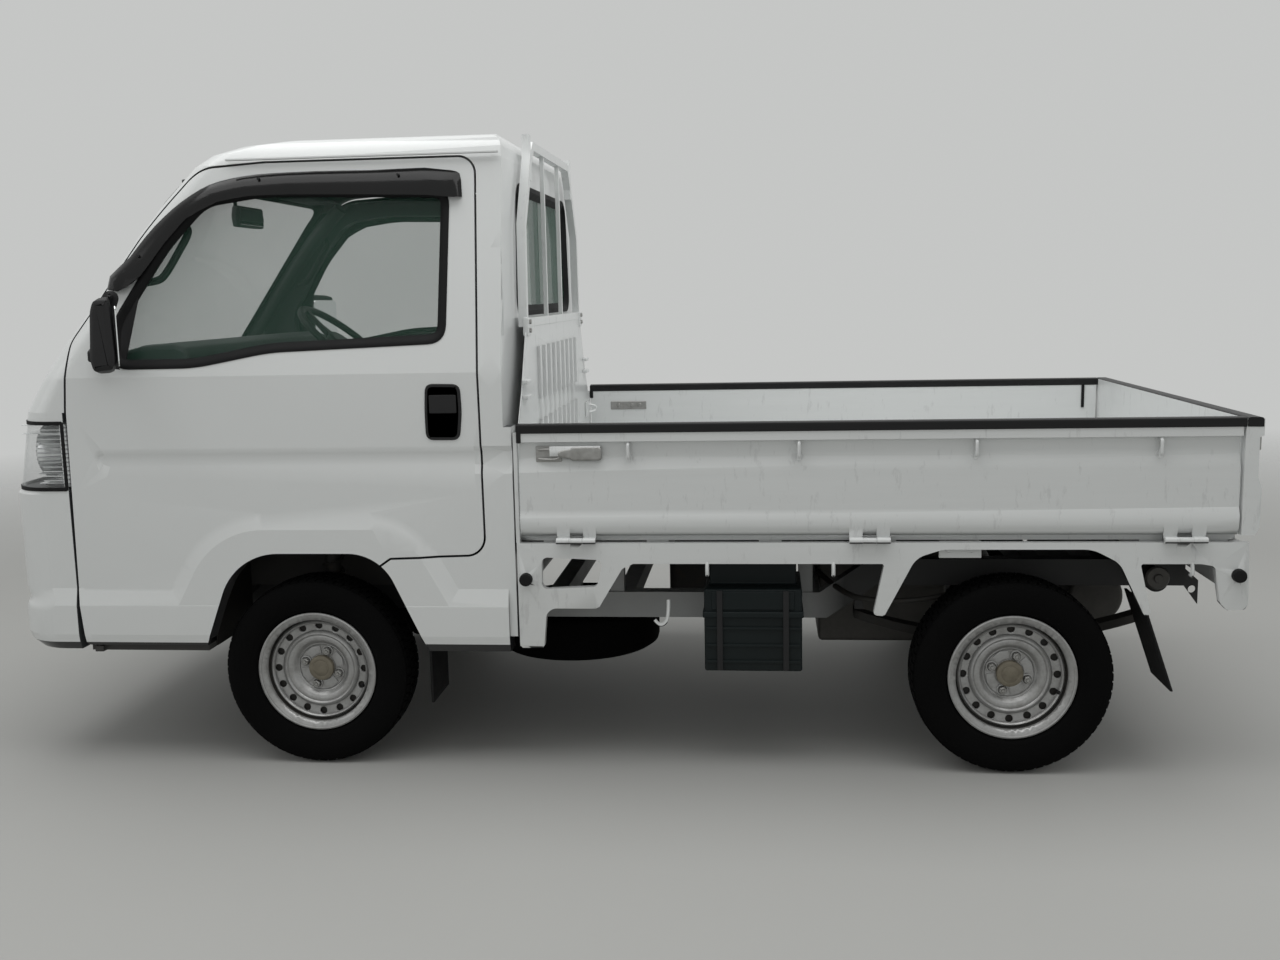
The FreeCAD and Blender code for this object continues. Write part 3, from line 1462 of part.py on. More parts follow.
def make_spare():
    """The spare lies flat under the front of the bed, its outer face down."""
    parts = [revolve(tyre_corners()), revolve(rim_corners(False))]
    for part in parts:
        part.Placement = Placement(Vector(), Rotation(Vector(1, 0, 0), -90))
        at(part, S.spare_x, 0, S.spare_low + S.tyre_width / 2)
    spare = doc.addObject("Part::Compound", "spare")
    spare.Links = parts
    node("spare_wheel", spare)


def make_underbed():
    """The battery box, fuel tank and muffler on the frame, and the four mud flaps."""
    beside_rail = S.rail_back_offset + S.rail_wide + S.seat_fit
    case = box((S.box_back, S.box_front), (beside_rail, S.box_outer), (S.box_low, S.box_high))
    lid = box((S.box_back + 14, S.box_front - 14), (beside_rail + 20, S.box_outer - 60),
              (S.box_high, S.box_high + 60))
    node("battery_box", fuse(case, lid))
    node("fuel_tank", box((S.tank_back + 30, S.tank_front), (-S.rail_back_offset + S.seat_fit, -60),
                          (S.tank_low, S.tank_high)))
    member_foot = S.rail_low + S.rail_kick + 10
    node("muffler", rod(S.muffler_radius, -S.muffler_half, S.muffler_half, x=S.muffler_x,
                        z=member_foot - S.muffler_radius - S.seat_fit))
    flap_out = S.cab_half_width - 40
    front = box((S.arch_back_foot + S.seat_fit, S.arch_back_foot + S.seat_fit + S.flap_wall),
                (flap_out - S.flap_wide, flap_out), (172, S.door_bottom))
    behind = S.skirt_outer - S.skirt_wall - S.seat_fit
    rear = pad("XZ_Plane", [(-1427, 470), (-1419, 470), (-1499, 232), (-1507, 232)], behind - S.flap_wide, behind)
    flaps = doc.addObject("Part::Compound", "flaps")
    flaps.Links = [front, mirrored(front), rear, mirrored(rear)]
    node("mud_flaps", flaps)


def check_and_write():
    """Stops if anything failed, and writes each piece under its label."""
    doc.recompute()
    for thing in doc.Objects:
        if {"Invalid", "Error"} & set(thing.State):
            raise RuntimeError(f"{thing.Label} ({thing.Name}) is {thing.State}")
    os.makedirs("parts", exist_ok=True)
    for thing in nodes:
        shape = thing.Shape
        if shape.isNull() or not shape.isValid() or not shape.Solids:
            raise RuntimeError(f"{thing.Label} has no valid solid")
        shape.exportStep(f"parts/{thing.Label}.step")


make_cab()
make_doors()
make_mirrors()
make_floor()
make_dashboard()
make_seats()
make_steering_wheel()
make_side_gates()
make_tailgate()
make_bed()
make_skirts()
make_rear_panel()
make_headboard()
make_guard()
make_frame()
make_running_gear()
make_knuckles()
make_wheels()
make_spare()
make_underbed()
check_and_write()
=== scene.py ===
"""The looks of a two-seat kei truck, built around its packed CAD model."""
import math

import bmesh
import bpy
from bpy.props import FloatProperty, FloatVectorProperty, IntProperty, PointerProperty
from mathutils import Matrix, Vector
from mathutils.bvhtree import BVHTree


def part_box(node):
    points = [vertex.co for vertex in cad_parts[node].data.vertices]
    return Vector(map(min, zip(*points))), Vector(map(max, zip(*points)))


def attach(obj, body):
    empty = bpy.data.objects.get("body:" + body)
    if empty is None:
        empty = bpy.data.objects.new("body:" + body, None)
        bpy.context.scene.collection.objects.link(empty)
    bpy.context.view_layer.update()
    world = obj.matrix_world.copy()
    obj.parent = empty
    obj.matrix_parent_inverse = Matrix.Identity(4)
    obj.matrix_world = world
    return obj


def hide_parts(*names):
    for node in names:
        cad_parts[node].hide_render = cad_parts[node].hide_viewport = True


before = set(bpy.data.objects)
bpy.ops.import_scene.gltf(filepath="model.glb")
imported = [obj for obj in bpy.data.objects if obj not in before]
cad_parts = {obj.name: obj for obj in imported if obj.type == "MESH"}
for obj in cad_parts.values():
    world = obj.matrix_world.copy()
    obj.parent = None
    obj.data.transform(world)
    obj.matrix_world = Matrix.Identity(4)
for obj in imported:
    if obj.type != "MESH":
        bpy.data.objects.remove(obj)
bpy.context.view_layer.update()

bl_info = {
    "name": "Kei Truck",
    "version": (1, 0, 0),
    "blender": (4, 5, 0),
    "location": "3D View > Sidebar > Kei Truck",
    "description": "Dresses the packed frame of a small drop-side truck",
    "category": "Object",
}

# X is forward, Y to the vehicle's left and Z up from the ground. Meshes are in metres. The numbers that
# give a shape are in millimetres, and mm() or a mesh tool turns them into metres.
MM = 0.001
SIDES = (("left", 1), ("right", -1))


def mm(*values):
    """Millimetres as a point in metres."""
    return Vector(value * MM for value in values)


# Sizes and colours that a user would change


def length_prop(name, description, default):
    return FloatProperty(name=name, description=description, default=default, min=0.0, unit="LENGTH")


def colour_prop(name, description, default):
    return FloatVectorProperty(
        name=name, description=description, default=default, size=3, min=0.0, max=1.0, subtype="COLOR"
    )


class TruckSizes(bpy.types.PropertyGroup):
    """Sizes of the pieces that dress the truck."""

    pane: length_prop("Window pane", "Thickness of the door windows", 0.004)
    seal_lip: length_prop("Seal lip", "How far the rubber round a door window stands out", 0.0035)
    hook_wire: length_prop("Rope hook wire", "Radius of the gates' rope hooks", 0.0045)
    spring_wire: length_prop("Spring wire", "Radius of the front springs' wire", 0.0045)
    tread_blocks: IntProperty(name="Tread blocks", description="Blocks round each tyre", default=64, min=8)


class TruckColours(bpy.types.PropertyGroup):
    """Colours of the truck's finishes."""

    paint: colour_prop("Body paint", "White of the cab and bed", (0.70, 0.715, 0.71))
    trim: colour_prop("Cab trim", "Grey of the moulded trim inside the cab", (0.050, 0.054, 0.056))
    lining: colour_prop("Roof lining", "Pale grey of the cab's lining", (0.16, 0.165, 0.16))
    wheel: colour_prop("Wheels", "Silver paint of the steel wheels", (0.36, 0.36, 0.355))
    glass: colour_prop("Glass", "Green tint of the windows", (0.05, 0.12, 0.085))
    dust: colour_prop("Dust", "Road dust on the underside and wheels", (0.19, 0.165, 0.125))
    box: colour_prop("Battery box", "Dark green-black of the battery box", (0.006, 0.010, 0.0105))
    floor: colour_prop("Floor", "Pale floor under the truck", (0.42, 0.42, 0.405))
    backdrop: colour_prop("Backdrop", "Pale wall behind the truck", (0.70, 0.71, 0.70))


def sizes():
    return bpy.context.scene.truck_sizes


def colour(name, factor=1.0):
    """A colour that the user can change, made lighter or darker."""
    return tuple(min(1.0, channel * factor) for channel in getattr(bpy.context.scene.truck_colours, name))


def rgba(three):
    return (*three, 1.0)


# Materials. Their lengths are in metres, and an expression on sockets adds its own nodes


class Value:
    """A number from a shader socket. Python's operators on it add Math nodes."""

    def __init__(self, shader, socket):
        self.shader, self.socket = shader, socket

    def math(self, operation, *others):
        return Value(self.shader, self.shader.node("Math", {"operation": operation}, self, *others))

    def __add__(self, other):
        return self.math("ADD", other)

    def __sub__(self, other):
        return self.math("SUBTRACT", other)

    def __mul__(self, other):
        return self.math("MULTIPLY", other)

    def __truediv__(self, other):
        return self.math("DIVIDE", other)

    def __neg__(self):
        return self * -1.0

    def __rsub__(self, other):
        return -self + other

    __radd__, __rmul__ = __add__, __mul__

    def above(self, level, soft):
        """0 well below a level and 1 well above it, with a soft edge."""
        return ((self - level) / soft + 0.5).clamp()

    def clamp(self):
        return Value(self.shader, self.shader.node("Clamp", {}, self))

    def waves(self):
        """Even waves between 0 and 1."""
        return self.math("SINE") * 0.5 + 0.5


class Shader:
    """A node material with a Principled surface."""

    def __init__(self, name):
        self.material = bpy.data.materials.new(name)
        self.material.use_nodes = True
        self.tree = self.material.node_tree
        self.surface = self.tree.nodes["Principled BSDF"]

    def node(self, kind, settings, *inputs, out=0, **named):
        """Adds a node of a type, applies its settings, feeds its sockets and returns an output."""
        made = self.tree.nodes.new("ShaderNode" + kind)
        for key, setting in settings.items():
            setattr(made, key, setting)
        for place, thing in [*enumerate(inputs), *named.items()]:
            self.feed(made.inputs[place], thing)
        return made.outputs[out]

    def feed(self, socket, thing):
        thing = thing.socket if isinstance(thing, Value) else thing
        if isinstance(thing, bpy.types.NodeSocket):
            self.tree.links.new(thing, socket)
        else:
            socket.default_value = thing

    def set(self, **sockets):
        """Feeds sockets of the surface, with spaces written as underscores."""
        for name, thing in sockets.items():
            self.feed(self.surface.inputs[name.replace("_", " ")], thing)

    def place(self):
        """The place on the object."""
        return self.node("TexCoord", {}, out=3)

    def scaled(self, scale):
        return self.node("Mapping", {}, Vector=self.place(), Scale=scale)

    def split(self, socket):
        parts = self.node("SeparateXYZ", {}, socket)
        return [Value(self, part) for part in parts.node.outputs]

    def axes(self):
        """The place on the object as three values."""
        return self.split(self.place())

    def facing(self):
        """The way a face looks, as three values."""
        return self.split(self.node("TexCoord", {}, out=1))

    def noise(self, scale, detail, rough=0.5, where=None):
        feeds = {"Vector": where or self.place(), "Scale": scale, "Detail": detail, "Roughness": rough}
        return Value(self, self.node("TexNoise", {}, **feeds))

    def spots(self, scale):
        return Value(self, self.node("TexVoronoi", {}, Vector=self.place(), Scale=scale))

    def grazing(self):
        """How much a clear surface mirrors at its slant, seen from either side."""
        slant = Value(self, self.node("LayerWeight", {}, Blend=0.5, out=1))
        return slant.math("POWER", 5.0) * 0.96 + 0.04

    def mix(self, factor, first, second):
        """A colour between two colours."""
        made = self.tree.nodes.new("ShaderNodeMix")
        made.data_type = "RGBA"
        for place, thing in zip((0, 6, 7), (factor, first, second)):
            self.feed(made.inputs[place], rgba(thing) if isinstance(thing, tuple) else thing)
        return made.outputs[2]

    def bump(self, height, distance, strength):
        return self.node("Bump", {}, Height=height, Distance=distance, Strength=strength)


FINISHES, MATERIALS = {}, {}


def finish(slot):
    """Lists a function as the finish of its own name, and the slot that its pieces go in unless they say."""
    def listed(work):
        FINISHES[work.__name__] = (work, slot)
        return work
    return listed


def material(name):
    """Each finish is made once, the first time that a piece asks for it."""
    if name not in MATERIALS:
        shader = Shader(name)
        FINISHES[name][0](shader)
        MATERIALS[name] = shader.material
    return MATERIALS[name]


def mottled(shader, cloud, dark, light, rough, height, bump, **others):
    """A surface between two colours. rough is its least roughness and the rise with the cloud."""
    least, rise = rough
    shader.set(
        Base_Color=shader.mix(cloud, dark, light), Roughness=least + cloud * rise if rise else least,
        Normal=shader.bump(height, *bump), **others,
    )


def dirt_on(shader, tone, height, amount):
    """A colour with thin road dust that thickens towards the ground, and the dust's own share."""
    reach = (1.0 - shader.axes()[2] / height).clamp()
    film = (reach * shader.noise(7.0, 5.0, 0.6) * 2.0 * amount).clamp()
    return shader.mix(film, tone, colour("dust")), film


UNDERSEAL = (0.010, 0.010, 0.0105)
SOOT, JET = (0.003, 0.003, 0.0035), (0.009, 0.009, 0.0095)
FRAME_TOP = 0.655
CAB_MIDDLE_X, CAB_MIDDLE_Z, LINING_FOOT = 0.85, 1.15, 1.55
BED_REAR_X = -1.67
# The open middle of the frame, where it shows body colour; beyond it the frame is painted near black as shade
OPEN_REAR, OPEN_FRONT, OPEN_SOFT = -0.62, 0.27, 0.1


def under_bed(nx, ny, nz, y, z):
    """1 on the low faces that look down, back or towards the vehicle's middle, which are sprayed black."""
    on_left = y.above(0.0, 0.01)
    inward = -(ny * on_left - ny * (1.0 - on_left))
    hidden = (-nz).math("MAXIMUM", -nx).math("MAXIMUM", inward)
    return hidden.above(0.35, 0.1) * (1.0 - z.above(FRAME_TOP, 0.02))


@finish("body_paint")
def cab_paint(shader):
    """Body paint outside and grey trim on the faces that look into the cab."""
    x, y, z = shader.axes()
    nx, ny, nz = shader.facing()
    inward = nx * (CAB_MIDDLE_X - x) - ny * y + nz * (CAB_MIDDLE_Z - z)
    room = inward.above(0.16, 0.04)
    ceiling = (-nz).above(0.5, 0.1) * z.above(LINING_FOOT, 0.02)
    tone = shader.mix(shader.noise(1.3, 2.0), colour("paint", 0.985), colour("paint", 1.015))
    outside, film = dirt_on(shader, tone, 0.45, 0.10)
    inside = shader.mix(ceiling, colour("trim"), colour("lining"))
    outside = shader.mix(under_bed(nx, ny, nz, y, z), outside, UNDERSEAL)
    grain, peel = shader.noise(1400.0, 2.0), shader.noise(900.0, 1.0)
    shader.set(
        Base_Color=shader.mix(room, outside, inside), Roughness=0.30 + room * 0.3 + film * 0.3,
        Coat_Weight=0.5 - room * 0.5, Coat_Roughness=0.08,
        Normal=shader.bump(peel * (1.0 - room) * 0.1 + grain * room, 0.0002, 0.4),
    )


@finish("body_paint")
def bed_paint(shader):
    """Body paint with the scuffs and dull streaks of a load bed."""
    x, y, z = shader.axes()
    nx, ny, nz = shader.facing()
    streaks = shader.noise(3.0, 6.0, 0.65, shader.scaled((1.0, 6.0, 14.0)))
    scuff = shader.noise(40.0, 4.0, 0.7, shader.scaled((1.0, 1.0, 0.25))).above(0.63, 0.08)
    tone = shader.mix(streaks, colour("paint", 0.94), colour("paint", 1.02))
    tone = shader.mix(scuff * 0.22, tone, (0.33, 0.33, 0.33))
    outside, film = dirt_on(shader, tone, 0.62, 0.22)
    hidden = under_bed(nx * 0.0, ny, nz, y, z) * x.above(BED_REAR_X, 0.01)
    shader.set(
        Base_Color=shader.mix(hidden, outside, UNDERSEAL), Roughness=0.34 + scuff * 0.2 + film * 0.3,
        Coat_Weight=0.3, Coat_Roughness=0.15, Normal=shader.bump(shader.noise(900.0, 1.0), 0.00003, 0.4),
    )


@finish("black_plastic")
def grained_black(shader):
    """Moulded black plastic with a fine grain."""
    mottled(shader, shader.noise(18.0, 4.0), (0.006, 0.006, 0.0065), (0.014, 0.014, 0.015), (0.46, 0.16),
            shader.noise(1100.0, 2.0), (0.0002, 0.45), Specular_IOR_Level=0.35)


@finish("rubber")
def seal_rubber(shader):
    """Matt black rubber of seals, stops and mud flaps."""
    cloud = shader.noise(30.0, 4.0)
    mottled(shader, cloud, SOOT, JET, (0.55, 0.2), cloud, (0.0004, 0.3), Specular_IOR_Level=0.22)


@finish("black_plastic")
def rail_vinyl(shader):
    """Glossy black vinyl with faint ripples along the rail."""
    ripple = shader.noise(9.0, 3.0, 0.5, shader.scaled((1.0, 8.0, 8.0)))
    mottled(shader, ripple, SOOT, JET, (0.32, 0.2), ripple, (0.001, 0.5), Specular_IOR_Level=0.3)


@finish("tyre")
def tyre_rubber(shader):
    """Black tyre rubber, a little dusty on the tread."""
    cloud = shader.noise(16.0, 6.0, 0.6)
    shader.set(
        Base_Color=shader.mix((cloud * 0.5).clamp(), (0.0015, 0.0015, 0.0017), (0.007, 0.0069, 0.0066)),
        Roughness=0.76 + cloud * 0.16, Specular_IOR_Level=0.07,
        Normal=shader.bump(shader.noise(500.0, 2.0), 0.0003, 0.4),
    )


@finish("wheel_steel")
def wheel_silver(shader):
    """Silver paint on pressed steel, with brake dust in its corners."""
    cloud = shader.noise(24.0, 6.0, 0.65)
    speckle = shader.spots(160.0).above(0.45, 0.3)
    dust = (cloud.above(0.58, 0.25) * 0.45).clamp()
    silver = shader.mix(dust, colour("wheel"), (0.13, 0.122, 0.108))
    shader.set(
        Base_Color=shader.mix(speckle * 0.10, silver, (0.60, 0.60, 0.60)), Metallic=0.65 - dust * 0.4,
        Roughness=0.33 + dust * 0.3, Normal=shader.bump(cloud, 0.0006, 0.25),
    )


@finish("wheel_steel")
def hub_dust(shader):
    """Dust-caked cap with a worn brassy film."""
    cloud = shader.noise(60.0, 5.0, 0.6)
    mottled(shader, cloud, (0.10, 0.085, 0.06), (0.26, 0.235, 0.18), (0.5, 0.2), cloud, (0.0008, 0.4),
            Metallic=0.3)


@finish("bare_steel")
def zinc_steel(shader):
    """Dull plated steel of nuts, hooks and hinges."""
    cloud = shader.noise(70.0, 4.0)
    mottled(shader, cloud, (0.24, 0.235, 0.22), (0.46, 0.46, 0.45), (0.34, 0.25), cloud, (0.0003, 0.3),
            Metallic=0.85)


@finish("black_metal")
def chassis_black(shader):
    """Black underbody paint, dusty and a little rusted."""
    cloud = shader.noise(14.0, 6.0, 0.65)
    rust = shader.noise(45.0, 5.0, 0.7).above(0.60, 0.10)
    grime_and_painted_shade = shader.mix((cloud * 0.10).clamp(), (0.005, 0.005, 0.005), colour("dust"))
    tone = shader.mix(rust * 0.12, grime_and_painted_shade, (0.08, 0.036, 0.016))
    shader.set(Base_Color=tone, Roughness=0.6 + cloud * 0.25, Normal=shader.bump(cloud, 0.0015, 0.35))


@finish("frame_paint")
def rail_paint(shader):
    """Body colour on the frame's open middle, black with grime at both ends."""
    cloud = shader.noise(9.0, 6.0, 0.62)
    x = shader.axes()[0]
    # Painted shade: the frame turns near black beyond its open middle.
    grime_and_painted_shade = (x.above(OPEN_FRONT, OPEN_SOFT) + 1.0 - x.above(OPEN_REAR, OPEN_SOFT)).clamp()
    # The white body paint is painted as the grey it looks in shade, with dusty patches.
    tone = shader.mix((cloud * 0.55).clamp(), (0.34, 0.35, 0.35), (0.20, 0.195, 0.185))
    tone = shader.mix(grime_and_painted_shade, tone, (0.014, 0.014, 0.014))
    shader.set(Base_Color=tone, Roughness=0.45 + cloud * 0.25, Normal=shader.bump(cloud, 0.001, 0.25))


@finish("bare_steel")
def cast_metal(shader):
    """Bare castings and pressed steel with a film of oil and dust."""
    cloud = shader.noise(22.0, 6.0, 0.65)
    # Both colours are very dark: partly the oily film, partly painted shade for the underside.
    mottled(shader, cloud, (0.035, 0.034, 0.032), (0.12, 0.115, 0.105), (0.5, 0.25),
            shader.noise(260.0, 2.0) + cloud, (0.0008, 0.4), Metallic=0.45)


@finish("black_plastic")
def box_plastic(shader):
    """Dark green-black plastic of the battery box, with a film of dust."""
    base = shader.mix(shader.noise(6.0, 3.0), colour("box", 0.8), colour("box", 1.3))
    tone, film = dirt_on(shader, base, 0.5, 0.02)
    shader.set(Base_Color=tone, Roughness=0.5 + film * 0.4, Specular_IOR_Level=0.2,
               Normal=shader.bump(shader.noise(700.0, 2.0), 0.0002, 0.4))


@finish("glass")
def window_glass(shader):
    """Green tinted safety glass, clear face on and bright at a slant."""
    haze = shader.noise(5.0, 4.0)
    shader.set(Base_Color=shader.mix(haze, colour("glass"), colour("glass", 1.15)), Roughness=0.02,
               Alpha=(0.115 + shader.grazing() * 1.05 + haze * 0.02).clamp())


@finish("black_plastic")
def visor_acrylic(shader):
    """Smoked acrylic that still lets the door's frame show."""
    smoke = shader.noise(4.0, 2.0)
    shader.set(Base_Color=shader.mix(smoke, (0.006, 0.006, 0.0062), (0.012, 0.012, 0.0124)), Roughness=0.12,
               Alpha=(0.92 + shader.grazing() * 0.3 + smoke * 0.04).clamp(), Specular_IOR_Level=0.3)


@finish("lamp_glass")
def lamp_glass(shader):
    """Clear outer lens of a headlamp."""
    haze = shader.noise(25.0, 3.0)
    shader.set(Base_Color=shader.mix(haze, (0.80, 0.83, 0.83), (0.88, 0.90, 0.90)), Roughness=0.03,
               Alpha=(0.05 + shader.grazing() * 0.8).clamp())


@finish("lamp_glass")
def lamp_chrome(shader):
    """Bright plated reflector with level flutes."""
    flute = (shader.axes()[2] * 520.0).waves()
    # Painted shade: dark bands along the flutes, on a pale base that stands in for the reflector's
    # reflections.
    shade = shader.mix(flute * flute * flute, (0.86, 0.88, 0.88), (0.30, 0.31, 0.32))
    shader.set(Base_Color=shade, Metallic=0.35, Roughness=0.22, Normal=shader.bump(flute, 0.0012, 0.5),
               Coat_Weight=0.6)


def lens(name, dark, light):
    """Lists a coloured lens moulded in small ribs."""
    def work(shader):
        ribs = (shader.axes()[2] * 900.0).waves()
        shader.set(Base_Color=shader.mix(ribs, dark, light), Roughness=0.12, Coat_Weight=1.0,
                   Normal=shader.bump(ribs, 0.0008, 0.5))
    FINISHES[name] = (work, "lamp_glass")


lens("red_lens", (0.30, 0.006, 0.006), (0.46, 0.012, 0.010))
lens("amber_lens", (0.55, 0.14, 0.01), (0.75, 0.22, 0.02))
lens("clear_lens", (0.60, 0.60, 0.60), (0.80, 0.80, 0.80))


@finish("seat_fabric")
def seat_cloth(shader):
    """Woven dark seat cloth."""
    x, y, z = ((axis * 2600.0).math("SINE") for axis in shader.axes())
    fleck = shader.noise(420.0, 2.0)
    shader.set(Base_Color=shader.mix(fleck, (0.045, 0.046, 0.05), (0.105, 0.106, 0.11)), Roughness=0.9,
               Sheen_Weight=0.3, Normal=shader.bump(x * y + z * 0.6 + fleck, 0.0008, 0.6))


@finish("trim_plastic")
def trim_grey(shader):
    """Grained grey plastic of the dashboard and cab trim."""
    mottled(shader, shader.noise(5.0, 3.0), colour("trim", 0.8), colour("trim", 1.15), (0.52, 0.12),
            shader.spots(520.0), (0.0005, 0.5))


@finish("black_metal")
def floor_mat(shader):
    """Ribbed rubber mat."""
    ribs, cloud = (shader.axes()[1] * 520.0).math("SINE"), shader.noise(9.0, 4.0)
    mottled(shader, cloud, (0.03, 0.03, 0.03), (0.065, 0.062, 0.058), (0.75, 0), ribs + cloud, (0.002, 0.5))


@finish("glass")
def mirror_glass(shader):
    """A silvered mirror with a faint smear."""
    smear = shader.noise(8.0, 3.0)
    shader.set(Base_Color=rgba((0.85, 0.87, 0.87)), Metallic=1.0, Roughness=0.03 + smear * 0.03)


FADE_ENDS, FADE_LONG = 9.0, 5.5


@finish(None)
def floor(shader):
    """A pale floor that thins out into the backdrop far from the truck."""
    x, y, _ = shader.axes()
    reach = (x * x + y * y).math("SQRT")
    shader.set(Base_Color=shader.mix(shader.noise(1.2, 4.0), colour("floor", 0.97), colour("floor", 1.02)),
               Roughness=0.62, Alpha=((FADE_ENDS - reach) / FADE_LONG).clamp())


# Mesh tools, which take millimetres unless they say otherwise

WELD = 0.01 * MM
# The CAD meshes: how near their corners are merged, and what counts as a sliver and as one flat face
CAD_WELD, CAD_SLIVER, CAD_FLAT = 0.02 * MM, 0.05 * MM, math.radians(1.5)
# How much of a short side a softened corner may take up
MOST_OF_SIDE = 0.45


def mesh_of(bm, name):
    """The mesh as Blender data, with its faces turned outwards."""
    bmesh.ops.recalc_face_normals(bm, faces=bm.faces)
    mesh = bpy.data.meshes.new(name)
    bm.to_mesh(mesh)
    bm.free()
    return mesh


def piece(mesh, name, finish, body="chassis", replaces=(), smooth=35.0):
    """A finished piece that rides on a body, in its finish's slot unless another is given."""
    made = bpy.data.objects.new(name, mesh)
    bpy.context.scene.collection.objects.link(made)
    mesh.materials.clear()
    mesh.materials.append(material(finish))
    mesh.shade_smooth()
    mesh.set_sharp_from_angle(angle=math.radians(smooth))
    even = made.modifiers.new("even_shading", "WEIGHTED_NORMAL")
    even.keep_sharp = True
    even.weight = 100
    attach(made, body)
    if replaces:
        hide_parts(*replaces)
    return made


def solid_from(bm, name, finish, body="chassis", replaces=(), smooth=35.0):
    """Welds a mesh and makes it a finished piece."""
    bmesh.ops.remove_doubles(bm, verts=bm.verts, dist=WELD)
    return piece(mesh_of(bm, name), name, finish, body, replaces, smooth)


def across(bm):
    """The same mesh on the vehicle's other side."""
    other = bm.copy()
    bmesh.ops.scale(other, vec=(1, -1, 1), verts=other.verts)
    bmesh.ops.reverse_faces(other, faces=other.faces)
    return other


def on_both_sides(bm, name, finish, body="chassis", replaces="", smooth=35.0):
    """A left piece and its mirror image. The names have {} where the side goes."""
    for mesh, (side, _) in zip((bm, across(bm)), SIDES):
        nodes = [replaces.format(side)] if replaces else []
        solid_from(mesh, name.format(side), finish, body.format(side), nodes, smooth)


def merge(bm, *others):
    """Adds other meshes to the first."""
    for other in others:
        mesh = bpy.data.meshes.new("joined")
        other.to_mesh(mesh)
        other.free()
        bm.from_mesh(mesh)
        bpy.data.meshes.remove(mesh)
    return bm


def doubled(*meshes):
    """Meshes joined with their mirror image across the vehicle."""
    bm = merge(*meshes)
    return merge(bm, across(bm))


def rounded(bm, width, segments=2, angle=30.0):
    """Bevels each edge that turns by more than an angle."""
    turn = math.radians(angle)
    edges = [edge for edge in bm.edges if edge.is_manifold and edge.calc_face_angle(0.0) > turn]
    bmesh.ops.bevel(
        bm, geom=edges, offset=width * MM, offset_type="OFFSET", segments=segments, profile=0.5,
        affect="EDGES", clamp_overlap=True, material=-1,
    )
    return bm


def block(lowest, highest, edge=0, segments=2):
    """A box between two corners, with its edges rounded."""
    bm = bmesh.new()
    lowest, highest = mm(*lowest), mm(*highest)
    bmesh.ops.create_cube(bm, size=1.0)
    bmesh.ops.scale(bm, vec=highest - lowest, verts=bm.verts)
    bmesh.ops.translate(bm, vec=(highest + lowest) / 2, verts=bm.verts)
    return rounded(bm, edge, segments) if edge else bm


def turned(bm, angle, axis, centre=(0, 0, 0)):
    """Turns a mesh by an angle in degrees."""
    turn = Matrix.Rotation(math.radians(angle), 3, axis)
    bmesh.ops.rotate(bm, verts=bm.verts, cent=mm(*centre), matrix=turn)
    return bm


def moved(bm, offset):
    """Moves a mesh by an offset in metres."""
    bmesh.ops.translate(bm, vec=offset, verts=bm.verts)
    return bm


def rod(start, end, radius, radius_end=None, sides=20, edge=0):
    """A round bar or cone between two points."""
    start, end = mm(*start), mm(*end)
    bm = bmesh.new()
    bmesh.ops.create_cone(
        bm, cap_ends=True, segments=sides, radius1=radius * MM, radius2=(radius_end or radius) * MM,
        depth=(end - start).length,
    )
    if edge:
        rounded(bm, edge, 2, 60.0)
    turn = Vector((0, 0, 1)).rotation_difference(end - start).to_matrix()
    bmesh.ops.rotate(bm, verts=bm.verts, cent=(0, 0, 0), matrix=turn)
    return moved(bm, (start + end) / 2)


def bent_rod(points, radius, sides=12):
    """A round bar that follows a route in a smooth curve."""
    curve = bpy.data.curves.new("route", "CURVE")
    curve.dimensions = "3D"
    curve.bevel_depth = radius * MM
    curve.bevel_resolution = max(1, sides // 4 - 1)
    curve.use_fill_caps = True
    spline = curve.splines.new("NURBS")
    spline.points.add(len(points) - 1)
    for knot, point in zip(spline.points, points):
        knot.co = (*mm(*point), 1.0)
    spline.order_u = 3
    spline.use_endpoint_u = True
    spline.resolution_u = 6
    holder = bpy.data.objects.new("route", curve)
    bpy.context.scene.collection.objects.link(holder)
    mesh = evaluated_mesh(holder)
    bm = bmesh.new()
    bm.from_mesh(mesh)
    bpy.data.objects.remove(holder)
    bpy.data.curves.remove(curve)
    bpy.data.meshes.remove(mesh)
    bmesh.ops.remove_doubles(bm, verts=bm.verts, dist=WELD)
    return bm


def evaluated_mesh(thing):
    """The mesh that an object's curve or modifiers make."""
    bpy.context.view_layer.update()
    return bpy.data.meshes.new_from_object(thing.evaluated_get(bpy.context.evaluated_depsgraph_get()))


def loop_edges(bm, points):
    """A closed ring of edges through points in metres."""
    verts = [bm.verts.new(point) for point in points]
    return [bm.edges.new((vert, verts[(i + 1) % len(verts)])) for i, vert in enumerate(verts)]


def lathe(profile, centre=(0, 0, 0), axis=(0, 1, 0), steps=96):
    """A closed profile of (along, radius) pairs turned round an axis through a centre."""
    bm = bmesh.new()
    centre, axis = mm(*centre), Vector(axis)
    out = axis.orthogonal().normalized()
    edges = loop_edges(bm, [centre + (axis * along + out * radius) * MM for along, radius in profile])
    bmesh.ops.spin(
        bm, geom=bm.verts[:] + edges, cent=centre, axis=axis, angle=math.tau, steps=steps, use_merge=True,
        use_duplicate=False,
    )
    bmesh.ops.remove_doubles(bm, verts=bm.verts, dist=WELD)
    flat = [face for face in bm.faces if face.calc_area() < MM ** 4]
    bmesh.ops.delete(bm, geom=flat, context="FACES_ONLY")
    return bm


def spun_copies(bm, count, centre):
    """The mesh repeated evenly round an axle through a place in metres."""
    bmesh.ops.spin(
        bm, geom=bm.verts[:] + bm.edges[:] + bm.faces[:], cent=centre, axis=(0, 1, 0), angle=math.tau,
        steps=count, use_duplicate=True, use_merge=False,
    )
    bmesh.ops.remove_doubles(bm, verts=bm.verts, dist=WELD)
    return bm


